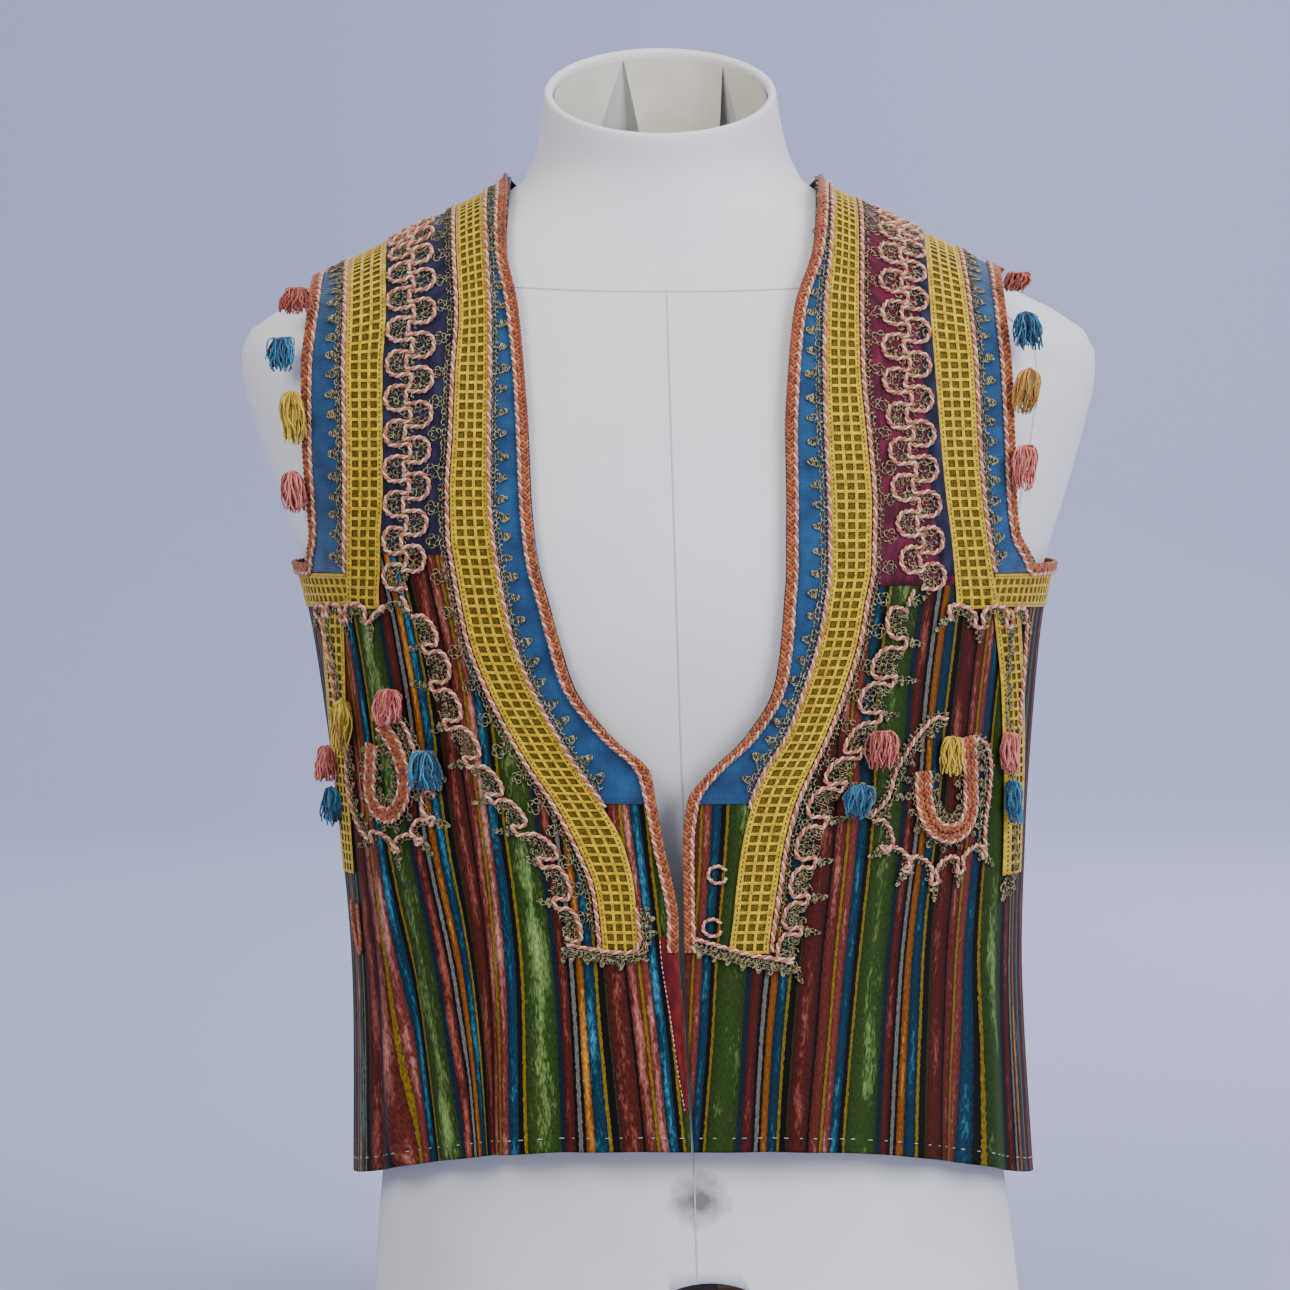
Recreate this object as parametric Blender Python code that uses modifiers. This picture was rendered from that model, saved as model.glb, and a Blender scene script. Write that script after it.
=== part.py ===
"""Sleeveless folk vest in striped velvet, worn by a limbless dress form. Metres, +Z up, front towards -Y."""

import math

import bmesh
import bpy
import numpy as np

MM = 0.001

# Whole stand
LEAN = 0.031          # the form stands a little out of plumb, towards -X going up
FOOT = 12.0           # upright part at the floor, mm
LEAN_PIVOT = 463.0    # height of the shoulder tips, mm
MID_Y = 1.64          # moves the stand so that it is centred front to back, mm

# Cloth thicknesses, mm
FORM_WALL = 4.0
VELVET = 1.6
GAP = 0.35
SEAM = 0.2            # half the gap left at a seam
RIBBON = 0.8
CORD = 1.4
LAY = 0.75            # lift of what is laid across the panels' facets
TASSEL_LIFT = 6.5

# Horizontal sections of the form, mm: height, half width, front, back, middle y, squareness
FORM = np.array([
    (0.0, 151.5, 98.0, 94.0, 0.0, 2.1),
    (12.0, 151.5, 98.0, 94.0, 0.0, 2.1),
    (50.0, 149.0, 96.0, 92.0, 0.0, 2.1),
    (82.0, 145.5, 95.0, 90.0, 0.0, 2.1),
    (140.0, 138.0, 90.0, 84.0, 0.0, 2.1),
    (190.0, 138.0, 89.0, 82.0, 0.0, 2.1),
    (250.0, 146.0, 95.0, 87.0, 0.0, 2.15),
    (310.0, 157.0, 104.0, 93.0, 0.0, 2.2),
    (340.0, 163.5, 107.0, 97.0, 0.0, 2.25),
    (371.0, 173.0, 106.0, 100.0, 1.0, 2.3),
    (400.0, 183.0, 102.0, 102.0, 3.0, 2.3),
    (435.0, 194.0, 95.0, 101.0, 6.0, 2.3),
    (458.0, 199.5, 88.5, 97.5, 8.0, 2.3),
    (468.0, 199.5, 85.5, 95.5, 9.0, 2.3),
    (477.0, 195.0, 83.0, 93.5, 9.5, 2.3),
    (484.0, 186.0, 80.5, 92.0, 10.0, 2.3),
    (496.5, 161.5, 76.0, 87.0, 10.0, 2.3),
    (513.0, 128.0, 70.0, 81.0, 10.0, 2.3),
    (531.0, 91.0, 63.5, 73.0, 8.0, 2.25),
    (541.0, 71.5, 59.5, 66.5, 6.0, 2.15),
    (549.0, 63.5, 56.5, 61.0, 4.0, 2.1),
    (560.0, 58.5, 54.0, 56.5, 1.0, 2.0),
    (574.0, 55.5, 52.0, 53.0, -3.0, 2.0),
    (587.0, 54.0, 50.5, 50.5, -6.0, 2.0),
])
NECK_TILT = 0.43      # the cut top of the neck falls towards the front
NECK_FOOT = 549.0

# Horizontal sections of the inside of the vest, mm, same columns
VEST = np.array([
    (70.0, 158.5, 111.0, 101.0, 0.0, 2.05),
    (176.0, 155.5, 110.5, 101.0, 0.0, 2.05),
    (246.0, 159.0, 110.0, 102.0, 0.0, 2.1),
    (300.0, 164.0, 110.0, 103.0, 0.0, 2.15),
    (341.0, 169.0, 109.8, 103.5, 0.0, 2.25),
    (371.0, 175.5, 108.5, 103.5, 1.0, 2.3),
    (400.0, 185.5, 104.5, 104.5, 3.0, 2.3),
    (435.0, 196.5, 97.5, 103.5, 6.0, 2.3),
    (458.0, 202.0, 91.0, 100.0, 8.0, 2.3),
    (470.0, 202.0, 87.5, 97.5, 9.0, 2.3),
    (480.0, 197.0, 84.5, 95.5, 9.5, 2.3),
    (487.0, 188.0, 82.5, 94.0, 10.0, 2.3),
    (499.0, 164.0, 78.5, 89.5, 10.0, 2.3),
    (515.5, 130.5, 72.8, 84.0, 10.0, 2.3),
    (533.5, 94.3, 67.0, 77.5, 8.0, 2.25),
    (544.0, 74.3, 62.5, 71.0, 6.0, 2.15),
    (552.0, 67.5, 59.5, 66.0, 4.0, 2.1),
])

# Distances of the trims from the middle of a front, mm, at each height:
# height, edge, braid, ribbon in, ribbon out, scallop, arm ribbon in, arm ribbon out, arm band out, arm edge
LEFT = np.array([
    (84.0, 1.0, 8.0, 22.0, 38.0, 62.0, 104.0, 134.0, 153.0, 156.0),
    (158.0, 2.0, 8.0, 22.0, 38.0, 62.0, 106.0, 138.0, 153.0, 155.0),
    (197.0, 3.8, 9.2, 21.8, 37.8, 62.0, 108.0, 142.0, 154.0, 156.0),
    (213.0, 3.4, 8.8, 22.3, 38.7, 62.5, 111.0, 147.0, 156.0, 157.0),
    (224.5, 5.0, 10.4, 22.8, 40.0, 63.0, 113.0, 150.0, 157.0, 158.0),
    (245.0, 9.0, 14.2, 27.0, 47.5, 68.0, 116.0, 150.5, 158.3, 158.8),
    (265.0, 12.0, 17.4, 37.5, 57.5, 78.0, 120.0, 151.0, 160.0, 160.5),
    (278.0, 14.0, 20.5, 46.5, 66.0, 86.0, 123.0, 151.0, 161.0, 161.6),
    (293.0, 30.0, 35.6, 55.5, 74.5, 94.0, 127.0, 150.5, 162.0, 163.0),
    (316.0, 47.0, 52.4, 67.0, 85.5, 103.0, 132.0, 150.0, 163.0, 165.0),
    (337.0, 53.2, 58.5, 74.5, 93.0, 107.5, 134.0, 149.5, 163.5, 167.0),
    (356.0, 57.8, 63.0, 78.5, 96.5, 108.5, 134.0, 149.0, 164.0, 168.5),
    (369.0, 61.0, 66.5, 80.5, 98.5, 109.5, 133.0, 148.5, 164.0, 168.5),
    (385.0, 63.0, 68.5, 82.5, 100.5, 110.0, 132.5, 148.0, 161.0, 166.0),
    (401.0, 64.0, 69.5, 83.5, 100.5, 108.5, 131.0, 147.5, 161.5, 167.0),
    (429.0, 64.5, 70.0, 83.0, 98.5, 107.0, 130.5, 147.0, 162.5, 168.0),
    (458.0, 66.0, 71.0, 82.0, 96.8, 105.0, 130.0, 147.0, 162.5, 167.5),
    (487.0, 68.0, 73.5, 81.5, 94.5, 104.0, 128.0, 146.0, 159.5, 164.0),
    (515.0, 72.5, 77.5, 82.0, 95.0, 104.0, 128.0, 146.0, 158.0, 162.5),
    (546.0, 70.5, 76.0, 82.0, 95.0, 104.0, 128.0, 146.0, 158.0, 162.5),
])
RIGHT = np.array([
    (84.0, 0.0, 6.0, 20.0, 37.0, 62.0, 104.0, 134.0, 152.0, 155.5),
    (158.0, -0.8, 5.0, 20.0, 36.0, 62.0, 106.0, 138.0, 152.0, 154.5),
    (197.0, -1.3, 4.0, 19.0, 36.5, 60.0, 108.0, 142.0, 153.5, 155.5),
    (213.0, -1.1, 4.0, 21.2, 38.7, 60.0, 111.0, 147.0, 155.5, 156.5),
    (224.5, -0.9, 4.2, 22.6, 40.8, 60.5, 113.0, 149.0, 156.5, 157.5),
    (245.0, -0.5, 4.7, 26.0, 44.5, 62.0, 116.0, 150.0, 158.0, 158.6),
    (265.0, 2.0, 7.8, 31.5, 50.5, 69.0, 118.0, 150.5, 159.7, 160.3),
    (278.0, 12.0, 17.5, 37.5, 56.5, 75.0, 119.0, 150.5, 160.7, 161.4),
    (293.0, 28.0, 33.8, 47.5, 64.0, 81.0, 121.0, 150.0, 161.5, 162.7),
    (316.0, 42.5, 47.8, 57.0, 73.5, 90.0, 125.0, 149.0, 162.0, 164.5),
    (337.0, 46.5, 51.8, 64.0, 80.5, 94.0, 126.0, 147.0, 162.0, 166.0),
    (356.0, 48.5, 53.7, 68.0, 84.5, 96.0, 126.0, 145.0, 161.0, 167.0),
    (369.0, 49.8, 55.1, 70.0, 87.5, 96.0, 125.5, 143.0, 158.5, 165.5),
    (385.0, 50.3, 55.6, 70.5, 88.5, 96.0, 124.5, 141.0, 151.5, 157.0),
    (401.0, 51.0, 56.3, 70.8, 89.3, 95.0, 123.0, 139.5, 151.0, 155.5),
    (429.0, 51.5, 57.0, 70.5, 88.0, 94.0, 121.5, 138.5, 151.5, 155.5),
    (458.0, 54.0, 59.3, 71.0, 86.5, 94.5, 120.5, 138.5, 151.5, 155.5),
    (487.0, 58.0, 63.5, 72.5, 87.0, 95.5, 119.5, 137.0, 150.0, 154.0),
    (515.0, 67.5, 72.5, 76.0, 88.0, 96.0, 119.0, 135.0, 149.0, 153.5),
    (546.0, 71.0, 75.5, 77.5, 88.5, 96.0, 119.0, 135.0, 149.0, 153.5),
])
EDGE, BRAID, RIB_IN, RIB_OUT, SCALLOP, ARM_IN, ARM_OUT, RIM, ARM_EDGE, SIDE_MID, SIDE = range(11)
FRONT_ROWS = (84.0, 158.0, 197.0, 213.0, 224.5, 245.0, 265.0, 278.0, 293.0, 316.0, 337.0, 356.0, 369.0,
              385.0, 401.0, 429.0, 458.0)
ROW_CORNER, ROW_SIDE_RIBBON, ROW_BAND = 2, 4, 6
ROW_RIBBON_FOOT, ROW_ARMHOLE = 11, 12
SHOULDER_ROWS = 6     # rows from the last height up to the shoulder seam
HEM_DIP = 22.0        # the hem at the middle of the front stands this much higher than at the sides

# Back of the vest, mm: height, neck, yoke, blade, arm braid in, arm edge
BACK = np.array([
    (84.0, 52.0, 92.0, 124.0, 146.0, 153.0),
    (213.0, 52.0, 92.0, 124.0, 146.0, 153.0),
    (316.0, 54.0, 95.0, 128.0, 152.0, 158.0),
    (356.0, 56.0, 98.0, 132.0, 157.0, 163.0),
    (369.0, 57.0, 99.0, 133.0, 158.0, 164.0),
    (385.0, 58.0, 99.0, 132.0, 153.0, 158.0),
    (401.0, 60.0, 99.0, 130.0, 150.0, 155.0),
    (429.0, 63.0, 99.0, 128.0, 148.5, 153.5),
    (458.0, 66.0, 99.0, 128.0, 149.0, 154.0),
    (487.0, 69.0, 99.0, 129.0, 152.0, 157.0),
    (546.0, 71.0, 99.0, 130.0, 154.0, 159.0),
])
BACK_ROWS = (84.0, 120.0, 158.0, 197.0, 237.0, 277.0, 316.0, 356.0, 369.0, 385.0, 401.0, 429.0, 458.0)
BACK_ARMHOLE = 8
BACK_NECK = 531.0     # height of the neck at the middle of the back
NECK_RISE = 13.0      # and how much higher it is at the shoulders

# Scalloped lace beside the neck ribbon, mm: inner x, inner height, outer x, outer height, from the top down
SCALLOPS_LEFT = (
    (110.0, 356.0, 120.0, 350.0), (109.0, 347.0, 109.0, 341.0), (96.0, 338.0, 117.0, 331.0),
    (93.0, 328.0, 103.0, 325.5), (89.0, 318.0, 112.0, 314.0), (85.5, 310.0, 98.5, 308.0),
    (80.5, 301.0, 109.0, 295.5), (76.5, 293.0, 92.0, 291.5), (71.5, 285.0, 99.0, 279.5),
    (66.5, 276.0, 82.5, 273.5), (62.0, 269.0, 90.0, 263.5), (58.0, 262.0, 73.5, 260.0),
    (52.5, 253.0, 74.0, 250.0), (48.5, 245.0, 60.0, 244.5), (45.5, 236.0, 62.0, 235.0),
    (43.0, 228.0, 54.5, 228.0), (41.0, 218.0, 60.0, 218.0), (39.5, 208.0, 50.0, 208.5),
    (38.5, 199.0, 54.0, 198.0),
)
SCALLOPS_RIGHT = (
    (97.5, 356.0, 108.0, 353.0), (96.0, 350.0, 95.0, 346.0), (83.5, 341.0, 104.0, 336.0),
    (80.5, 332.0, 88.5, 326.0), (76.5, 322.0, 97.0, 319.0), (73.5, 313.0, 82.5, 312.0),
    (69.0, 303.0, 92.0, 302.0), (65.5, 293.0, 76.0, 293.0), (60.5, 285.0, 83.0, 283.0),
    (56.5, 277.0, 66.5, 278.5), (53.0, 270.0, 75.0, 269.0), (50.0, 262.0, 58.5, 264.5),
    (47.5, 254.0, 66.0, 254.5), (45.0, 246.0, 51.5, 245.5), (42.8, 236.0, 62.0, 236.5),
    (41.0, 227.0, 48.0, 227.0), (40.0, 218.0, 58.0, 220.0), (38.5, 208.0, 44.0, 212.0),
    (37.2, 198.0, 53.0, 192.0),
)
# Scalloped lace below the ribbon under the arm, same columns, from the corner to the side
UNDERARM_LEFT = (
    (135.0, 355.0, 136.0, 348.0), (139.0, 355.0, 141.0, 341.0), (143.0, 355.0, 145.0, 348.0),
    (148.0, 355.0, 150.0, 341.0), (152.0, 355.0, 154.0, 348.0), (157.0, 355.0, 158.0, 341.0),
    (161.0, 355.0, 161.5, 348.0),
)
UNDERARM_RIGHT = (
    (127.0, 355.0, 124.0, 345.0), (130.0, 355.0, 129.0, 350.0), (135.0, 355.0, 136.0, 340.0),
    (140.0, 355.0, 141.0, 348.0), (145.0, 355.0, 147.0, 340.0), (150.0, 355.0, 151.0, 347.0),
    (155.0, 355.0, 156.0, 340.0), (159.0, 355.0, 159.5, 347.0),
)

# Horseshoe braid of a pocket, mm: middle x, height of the bend, half width, braid width, inner arm top, outer arm top
POCKET_LEFT = (132.5, 261.0, 8.2, 5.0, 291.0, 300.0)
POCKET_RIGHT = (119.5, 256.0, 11.5, 7.0, 276.0, 292.0)
POCKET_STEPS = 10
NECK_STEPS = 16
# Scalloped outline of the cage round it, mm from the middle of the bend, from one arm round to the other
CAGE_LEFT = (
    (-21.0, 12.0), (-14.0, 8.0), (-19.0, 0.0), (-10.5, -6.0), (-11.0, -14.0), (-4.0, -12.0),
    (1.0, -17.0), (5.5, -12.0), (11.0, -7.0), (14.5, -2.0), (15.5, 8.0),
)
CAGE_RIGHT = (
    (-23.5, 20.0), (-27.5, 6.0), (-33.0, -2.0), (-24.0, -9.0), (-28.0, -18.0), (-19.5, -19.5),
    (-18.0, -28.0), (-9.5, -24.0), (-7.5, -33.5), (-0.5, -24.0), (6.5, -30.5), (12.0, -18.0),
    (17.0, -23.0), (17.5, -10.0), (20.5, 10.0),
)

# Tassels, mm: side, x, height, width, length, lift off the cloth
TASSELS = {
    "tassel_pocket_left_yellow": (-1, 149.0, 297.0, 13.0, 25.0, 0.0),
    "tassel_pocket_left_pink_in": (-1, 127.5, 307.0, 16.0, 17.0, 0.0),
    "tassel_pocket_left_blue_in": (-1, 112.0, 278.0, 15.0, 19.0, 0.0),
    "tassel_pocket_left_pink_out": (-1, 157.0, 278.0, 11.0, 17.0, 0.0),
    "tassel_pocket_left_blue_out": (-1, 156.0, 258.0, 11.0, 18.0, 0.0),
    "tassel_pocket_right_yellow": (1, 119.5, 284.0, 11.0, 19.0, 0.0),
    "tassel_pocket_right_pink_in": (1, 88.5, 288.0, 17.0, 18.0, 0.0),
    "tassel_pocket_right_blue_in": (1, 77.5, 265.0, 15.0, 16.0, 0.0),
    "tassel_pocket_right_pink_out": (1, 145.5, 284.0, 9.0, 19.0, 0.0),
    "tassel_pocket_right_blue_out": (1, 146.5, 261.0, 9.0, 20.0, 0.0),
    "tassel_arm_left_rust": (-1, 163.5, 483.0, 15.0, 14.0, 5.0),
    "tassel_arm_left_blue": (-1, 170.0, 464.0, 14.0, 16.0, 4.0),
    "tassel_arm_left_yellow": (-1, 166.5, 437.0, 12.0, 26.0, 3.5),
    "tassel_arm_left_pink": (-1, 166.5, 405.0, 15.0, 20.0, 3.0),
    "tassel_arm_right_rust": (1, 156.0, 490.0, 15.0, 9.0, 5.0),
    "tassel_arm_right_blue": (1, 158.0, 473.0, 13.0, 19.0, 4.0),
    "tassel_arm_right_ochre": (1, 158.5, 448.0, 13.0, 22.0, 3.5),
    "tassel_arm_right_pink": (1, 154.5, 414.0, 13.0, 22.0, 3.0),
}
TASSEL_DEPTH = 0.55   # of the width
LOOPS = {"button_loop_upper": (15.0, 232.0, 3.6), "button_loop_lower": (12.0, 208.0, 3.6)}
LOOP_RADIUS = 0.9

# Base
ARCH_RADIUS = 44.0
ARCH_X = 5.0          # from the middle of the form at the floor
BOARD = 12.0
BLOCK_DEPTH = 24.0
BLOCK_HEIGHT = 56.0
BLOCK_WIDTH = 52.0
BLOCK_FRONT = -66.0
BLOCK_SPLIT = 8.0

COLLECTION = "embroidered_vest"
FORM_AROUND = 40


def clear():
    for obj in list(bpy.data.objects):
        bpy.data.objects.remove(obj, do_unlink=True)


def smooth(table, z):
    """Columns of a table at height z, by a cubic that doesn't overshoot."""
    keys = table[:, 0]
    steps = np.diff(keys)
    rows = np.diff(table[:, 1:], axis=0) / steps[:, None]
    same = rows[:-1] * rows[1:] > 0
    total = np.where(same, rows[:-1] + rows[1:], 1.0)
    slope = np.vstack([rows[:1], np.where(same, 2.0 * rows[:-1] * rows[1:] / total, 0.0), rows[-1:]])
    z = min(max(z, keys[0]), keys[-1])
    i = min(max(int(np.searchsorted(keys, z)) - 1, 0), len(keys) - 2)
    h = steps[i]
    t = (z - keys[i]) / h
    a, b = table[i, 1:], table[i + 1, 1:]
    return ((1 + 2 * t) * (1 - t) ** 2 * a + t * (1 - t) ** 2 * h * slope[i]
            + t * t * (3 - 2 * t) * b + t * t * (t - 1) * h * slope[i + 1])


def axis_x(z):
    return -LEAN * (max(z, FOOT) - LEAN_PIVOT)


def at_angle(table, phi, z):
    """Point of a section at an angle: 0 is the front, a quarter turn the +X side."""
    wide, front, back, mid, square = smooth(table, z)
    c, s = math.cos(phi), math.sin(phi)
    x = wide * math.copysign(abs(s) ** (2 / square), s)
    y = -math.copysign(abs(c) ** (2 / square), c) * (front if c > 0 else back)
    return np.array([axis_x(z) + x, mid + y + MID_Y, z])


def angle_of(table, x, z, back=False):
    """Angle of the point whose distance from the middle is x."""
    wide, square = smooth(table, z)[[0, 4]]
    part = min(abs(x) / wide, 1.0)
    phi = math.asin(part ** (square / 2))
    if back:
        phi = math.pi - phi
    return math.copysign(phi, x) if x else phi


def outward(table, phi, z):
    """Unit normal of the surface, from two short steps along it."""
    d = 0.004
    across = at_angle(table, phi + d, z) - at_angle(table, phi - d, z)
    low = max(z - 0.8, table[0, 0])
    high = min(z + 0.8, table[-1, 0])
    up = at_angle(table, phi, high) - at_angle(table, phi, low)
    n = np.cross(across, up)
    size = np.linalg.norm(n)
    return n / size if size > 0 else np.array([0.0, 0.0, 1.0])


def shoulder_height(x):
    """Height at which the shoulder seam passes the distance x from the middle."""
    low, high = 470.0, VEST[-1, 0]
    for _ in range(40):
        z = (low + high) / 2
        if smooth(VEST, z)[0] > abs(x):
            low = z
        else:
            high = z
    return low


def link(obj, material):
    bpy.data.collections[COLLECTION].objects.link(obj)
    obj.data.materials.append(material)
    return obj


def material(name, colour, roughness, metallic=0.0):
    found = bpy.data.materials.get(name)
    if found:
        return found
    made = bpy.data.materials.new(name)
    made.use_nodes = True
    shader = made.node_tree.nodes["Principled BSDF"]
    shader.inputs["Base Color"].default_value = (*colour, 1.0)
    shader.inputs["Roughness"].default_value = roughness
    shader.inputs["Metallic"].default_value = metallic
    return made


def sheet(name, points, normals, keep, thickness, cloth):
    """Solid cloth on a grid of points [column, row]; keep says which cells are cloth."""
    columns, rows = points.shape[:2]
    mesh = bpy.data.meshes.new(name)
    bm = bmesh.new()
    bmesh.ops.create_grid(bm, x_segments=columns - 1, y_segments=rows - 1, size=1.0)
    index = {}
    for v in bm.verts:
        index[v] = (round((v.co.x + 1) / 2 * (columns - 1)), round((v.co.y + 1) / 2 * (rows - 1)))
    unwanted = []
    for f in bm.faces:
        i = min(index[v][0] for v in f.verts)
        j = min(index[v][1] for v in f.verts)
        if not keep(i, j):
            unwanted.append(f)
    for v, (i, j) in index.items():
        v.co = points[i, j] * MM
    bmesh.ops.delete(bm, geom=unwanted, context="FACES")
    bm.normal_update()
    facing = 0.0
    for f in bm.faces:
        nearest = index[f.verts[0]]
        facing += float(np.dot(f.normal, normals[nearest])) * f.calc_area()
    if facing < 0:
        bmesh.ops.reverse_faces(bm, faces=bm.faces[:])
    bm.to_mesh(mesh)
    bm.free()
    obj = link(bpy.data.objects.new(name, mesh), cloth)
    wall = obj.modifiers.new("wall", "SOLIDIFY")
    wall.thickness = thickness * MM
    wall.offset = 1.0
    return obj


def everywhere(i, j):
    return True


# ---------------------------------------------------------------- dress form

def make_form(linen, board_wood, dark_wood, tan_wood):
    heights = sorted(set(FORM[:, 0]) | {111.0, 165.0, 220.0, 280.0, 418.0, 490.0, 522.0})
    rings = len(heights)
    mesh = bpy.data.meshes.new("dress_form")
    bm = bmesh.new()
    bmesh.ops.create_grid(bm, x_segments=FORM_AROUND, y_segments=rings - 1, size=1.0)
    for v in bm.verts:
        i = round((v.co.x + 1) / 2 * FORM_AROUND) % FORM_AROUND
        z = heights[round((v.co.y + 1) / 2 * (rings - 1))]
        wide, front, back, _, _ = smooth(FORM, z)
        turn = 2 * math.pi * i / FORM_AROUND
        phi = math.atan2(math.sin(turn), math.cos(turn))
        point = at_angle(FORM, phi, z)
        if z > NECK_FOOT:
            rise = (z - NECK_FOOT) / (FORM[-1, 0] - NECK_FOOT)
            point[2] += NECK_TILT * (point[1] - MID_Y + 6.0) * rise
        v.co = point * MM
    bmesh.ops.remove_doubles(bm, verts=bm.verts[:], dist=1e-6)
    bm.normal_update()
    inward = sum(f.normal.dot(f.calc_center_median()) for f in bm.faces if abs(f.normal.z) < 0.5) < 0
    if inward:
        bmesh.ops.reverse_faces(bm, faces=bm.faces[:])
    bm.to_mesh(mesh)
    bm.free()
    form = link(bpy.data.objects.new("dress_form", mesh), linen)
    wall = form.modifiers.new("wall", "SOLIDIFY")
    wall.thickness = FORM_WALL * MM
    wall.offset = -1.0

    cutter_mesh = bpy.data.meshes.new("arch_cutter")
    bm = bmesh.new()
    bmesh.ops.create_cone(bm, cap_ends=True, segments=32, radius1=ARCH_RADIUS * MM, radius2=ARCH_RADIUS * MM,
                          depth=0.08)
    for v in bm.verts:
        x, y, z = v.co
        v.co = (x + (axis_x(0.0) + ARCH_X) * MM, z + (MID_Y - 92.0) * MM, y)
    bmesh.ops.recalc_face_normals(bm, faces=bm.faces[:])
    bm.to_mesh(cutter_mesh)
    bm.free()
    cutter = bpy.data.objects.new("arch_cutter", cutter_mesh)
    bpy.data.collections["cutters"].objects.link(cutter)
    cutter.hide_render = True
    cutter.display_type = "WIRE"
    arch = form.modifiers.new("arch", "BOOLEAN")
    arch.operation = "DIFFERENCE"
    arch.solver = "EXACT"
    arch.object = cutter

    make_board(board_wood)
    x0 = axis_x(0.0) + BLOCK_SPLIT
    make_block("block_dark", x0 - SEAM - BLOCK_WIDTH, x0 - SEAM, dark_wood)
    make_block("block_tan", x0 + SEAM, x0 + SEAM + BLOCK_WIDTH, tan_wood)


def make_board(wood):
    """Board inside the foot of the form, on which it all stands."""
    mesh = bpy.data.meshes.new("base_board")
    bm = bmesh.new()
    bmesh.ops.create_circle(bm, cap_ends=True, segments=FORM_AROUND, radius=1.0)
    for v in bm.verts:
        phi = math.atan2(v.co.x, -v.co.y)
        edge = at_angle(FORM, phi, 0.0)
        middle = np.array([axis_x(0.0), MID_Y, 0.0])
        reach = edge - middle
        size = np.linalg.norm(reach)
        v.co = (middle + reach * (size - FORM_WALL - 1.2) / size) * MM
    top = bmesh.ops.extrude_face_region(bm, geom=bm.faces[:])
    for part in top["geom"]:
        if isinstance(part, bmesh.types.BMVert):
            part.co.z += BOARD * MM
    bmesh.ops.recalc_face_normals(bm, faces=bm.faces[:])
    bm.to_mesh(mesh)
    bm.free()
    link(bpy.data.objects.new("base_board", mesh), wood)


def make_block(name, x0, x1, wood):
    mesh = bpy.data.meshes.new(name)
    bm = bmesh.new()
    bmesh.ops.create_cube(bm, size=1.0)
    bottom = BOARD + GAP
    for v in bm.verts:
        v.co = ((x0 if v.co.x < 0 else x1) * MM,
                (BLOCK_FRONT + MID_Y + (0.0 if v.co.y < 0 else BLOCK_DEPTH)) * MM,
                (bottom if v.co.z < 0 else bottom + BLOCK_HEIGHT) * MM)
    bm.to_mesh(mesh)
    bm.free()
    link(bpy.data.objects.new(name, mesh), wood)


# ---------------------------------------------------------------- vest

def column_top(table, column):
    """Height at which a column of a front or back table reaches the shoulder seam."""
    z = 520.0
    for _ in range(30):
        z = shoulder_height(smooth(table, z)[column])
    return z


def climb(start, top, k):
    """Heights from the chest to the shoulder seam, closer together near the seam."""
    return start + (top - start) * math.sin(math.pi / 2 * k / SHOULDER_ROWS)


def front_grid(table, side):
    """Inner points and normals of a front, [column, row]; columns follow the trims, rows the heights."""
    rows = len(FRONT_ROWS) + SHOULDER_ROWS
    points = np.zeros((11, rows, 3))
    normals = np.zeros((11, rows, 3))
    tops = [column_top(table, c) for c in range(9)]
    for j in range(rows):
        for c in range(11):
            if j < len(FRONT_ROWS):
                z = FRONT_ROWS[j]
            else:
                z = climb(FRONT_ROWS[-1], tops[min(c, 8)], j - len(FRONT_ROWS) + 1)
            phi = angle_of(VEST, smooth(table, z)[min(c, 8)], z)
            if j == rows - 1 and c < 9:
                phi = math.pi / 2
            if j < ROW_RIBBON_FOOT and c > RIM:
                phi = angle_of(VEST, smooth(table, z)[RIM], z)
                phi += (math.pi / 2 - phi) * (c - RIM) / (SIDE - RIM)
            elif c > ARM_EDGE:
                phi += (math.pi / 2 - phi) * (c - ARM_EDGE) / (SIDE - ARM_EDGE)
            if j < 2:
                s = abs(math.sin(phi)) ** 3
                z += (HEM_DIP * (1 - s)) * (1.0, 0.15)[j]
            points[c, j] = at_angle(VEST, side * phi, z)
            points[c, j, 1] -= SEAM
            normals[c, j] = outward(VEST, side * phi, z)
    return points, normals


def back_grid():
    """Inner points and normals of the back, from the left side round to the right."""
    half = (0.0, 0.34, 0.62, 0.84, 1.0)
    rows = len(BACK_ROWS) + SHOULDER_ROWS
    count = 11
    points = np.zeros((2 * count - 1, rows, 3))
    normals = np.zeros((2 * count - 1, rows, 3))
    for j in range(rows):
        for k in range(2 * count - 1):
            c = abs(k - count + 1)
            side = 1 if k >= count - 1 else -1
            place = half[min(c, 4)]
            column = min(max(c - 4, 0), 4)
            if j < len(BACK_ROWS):
                z = BACK_ROWS[j]
            elif c < 5:
                top = BACK_NECK + NECK_RISE * place ** 2
                z = climb(BACK_ROWS[-1], top, j - len(BACK_ROWS) + 1)
            else:
                z = climb(BACK_ROWS[-1], column_top(BACK, column), j - len(BACK_ROWS) + 1)
            x = smooth(BACK, z)[column] * place
            phi = math.pi - angle_of(VEST, x, z)
            if j == rows - 1 and c > 3:
                phi = math.pi / 2
            if c > 8:
                phi += (math.pi / 2 - phi) * (c - 8) / 2
            points[k, j] = at_angle(VEST, side * phi, z)
            points[k, j, 1] += SEAM
            normals[k, j] = outward(VEST, side * phi, z)
    return points, normals


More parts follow.
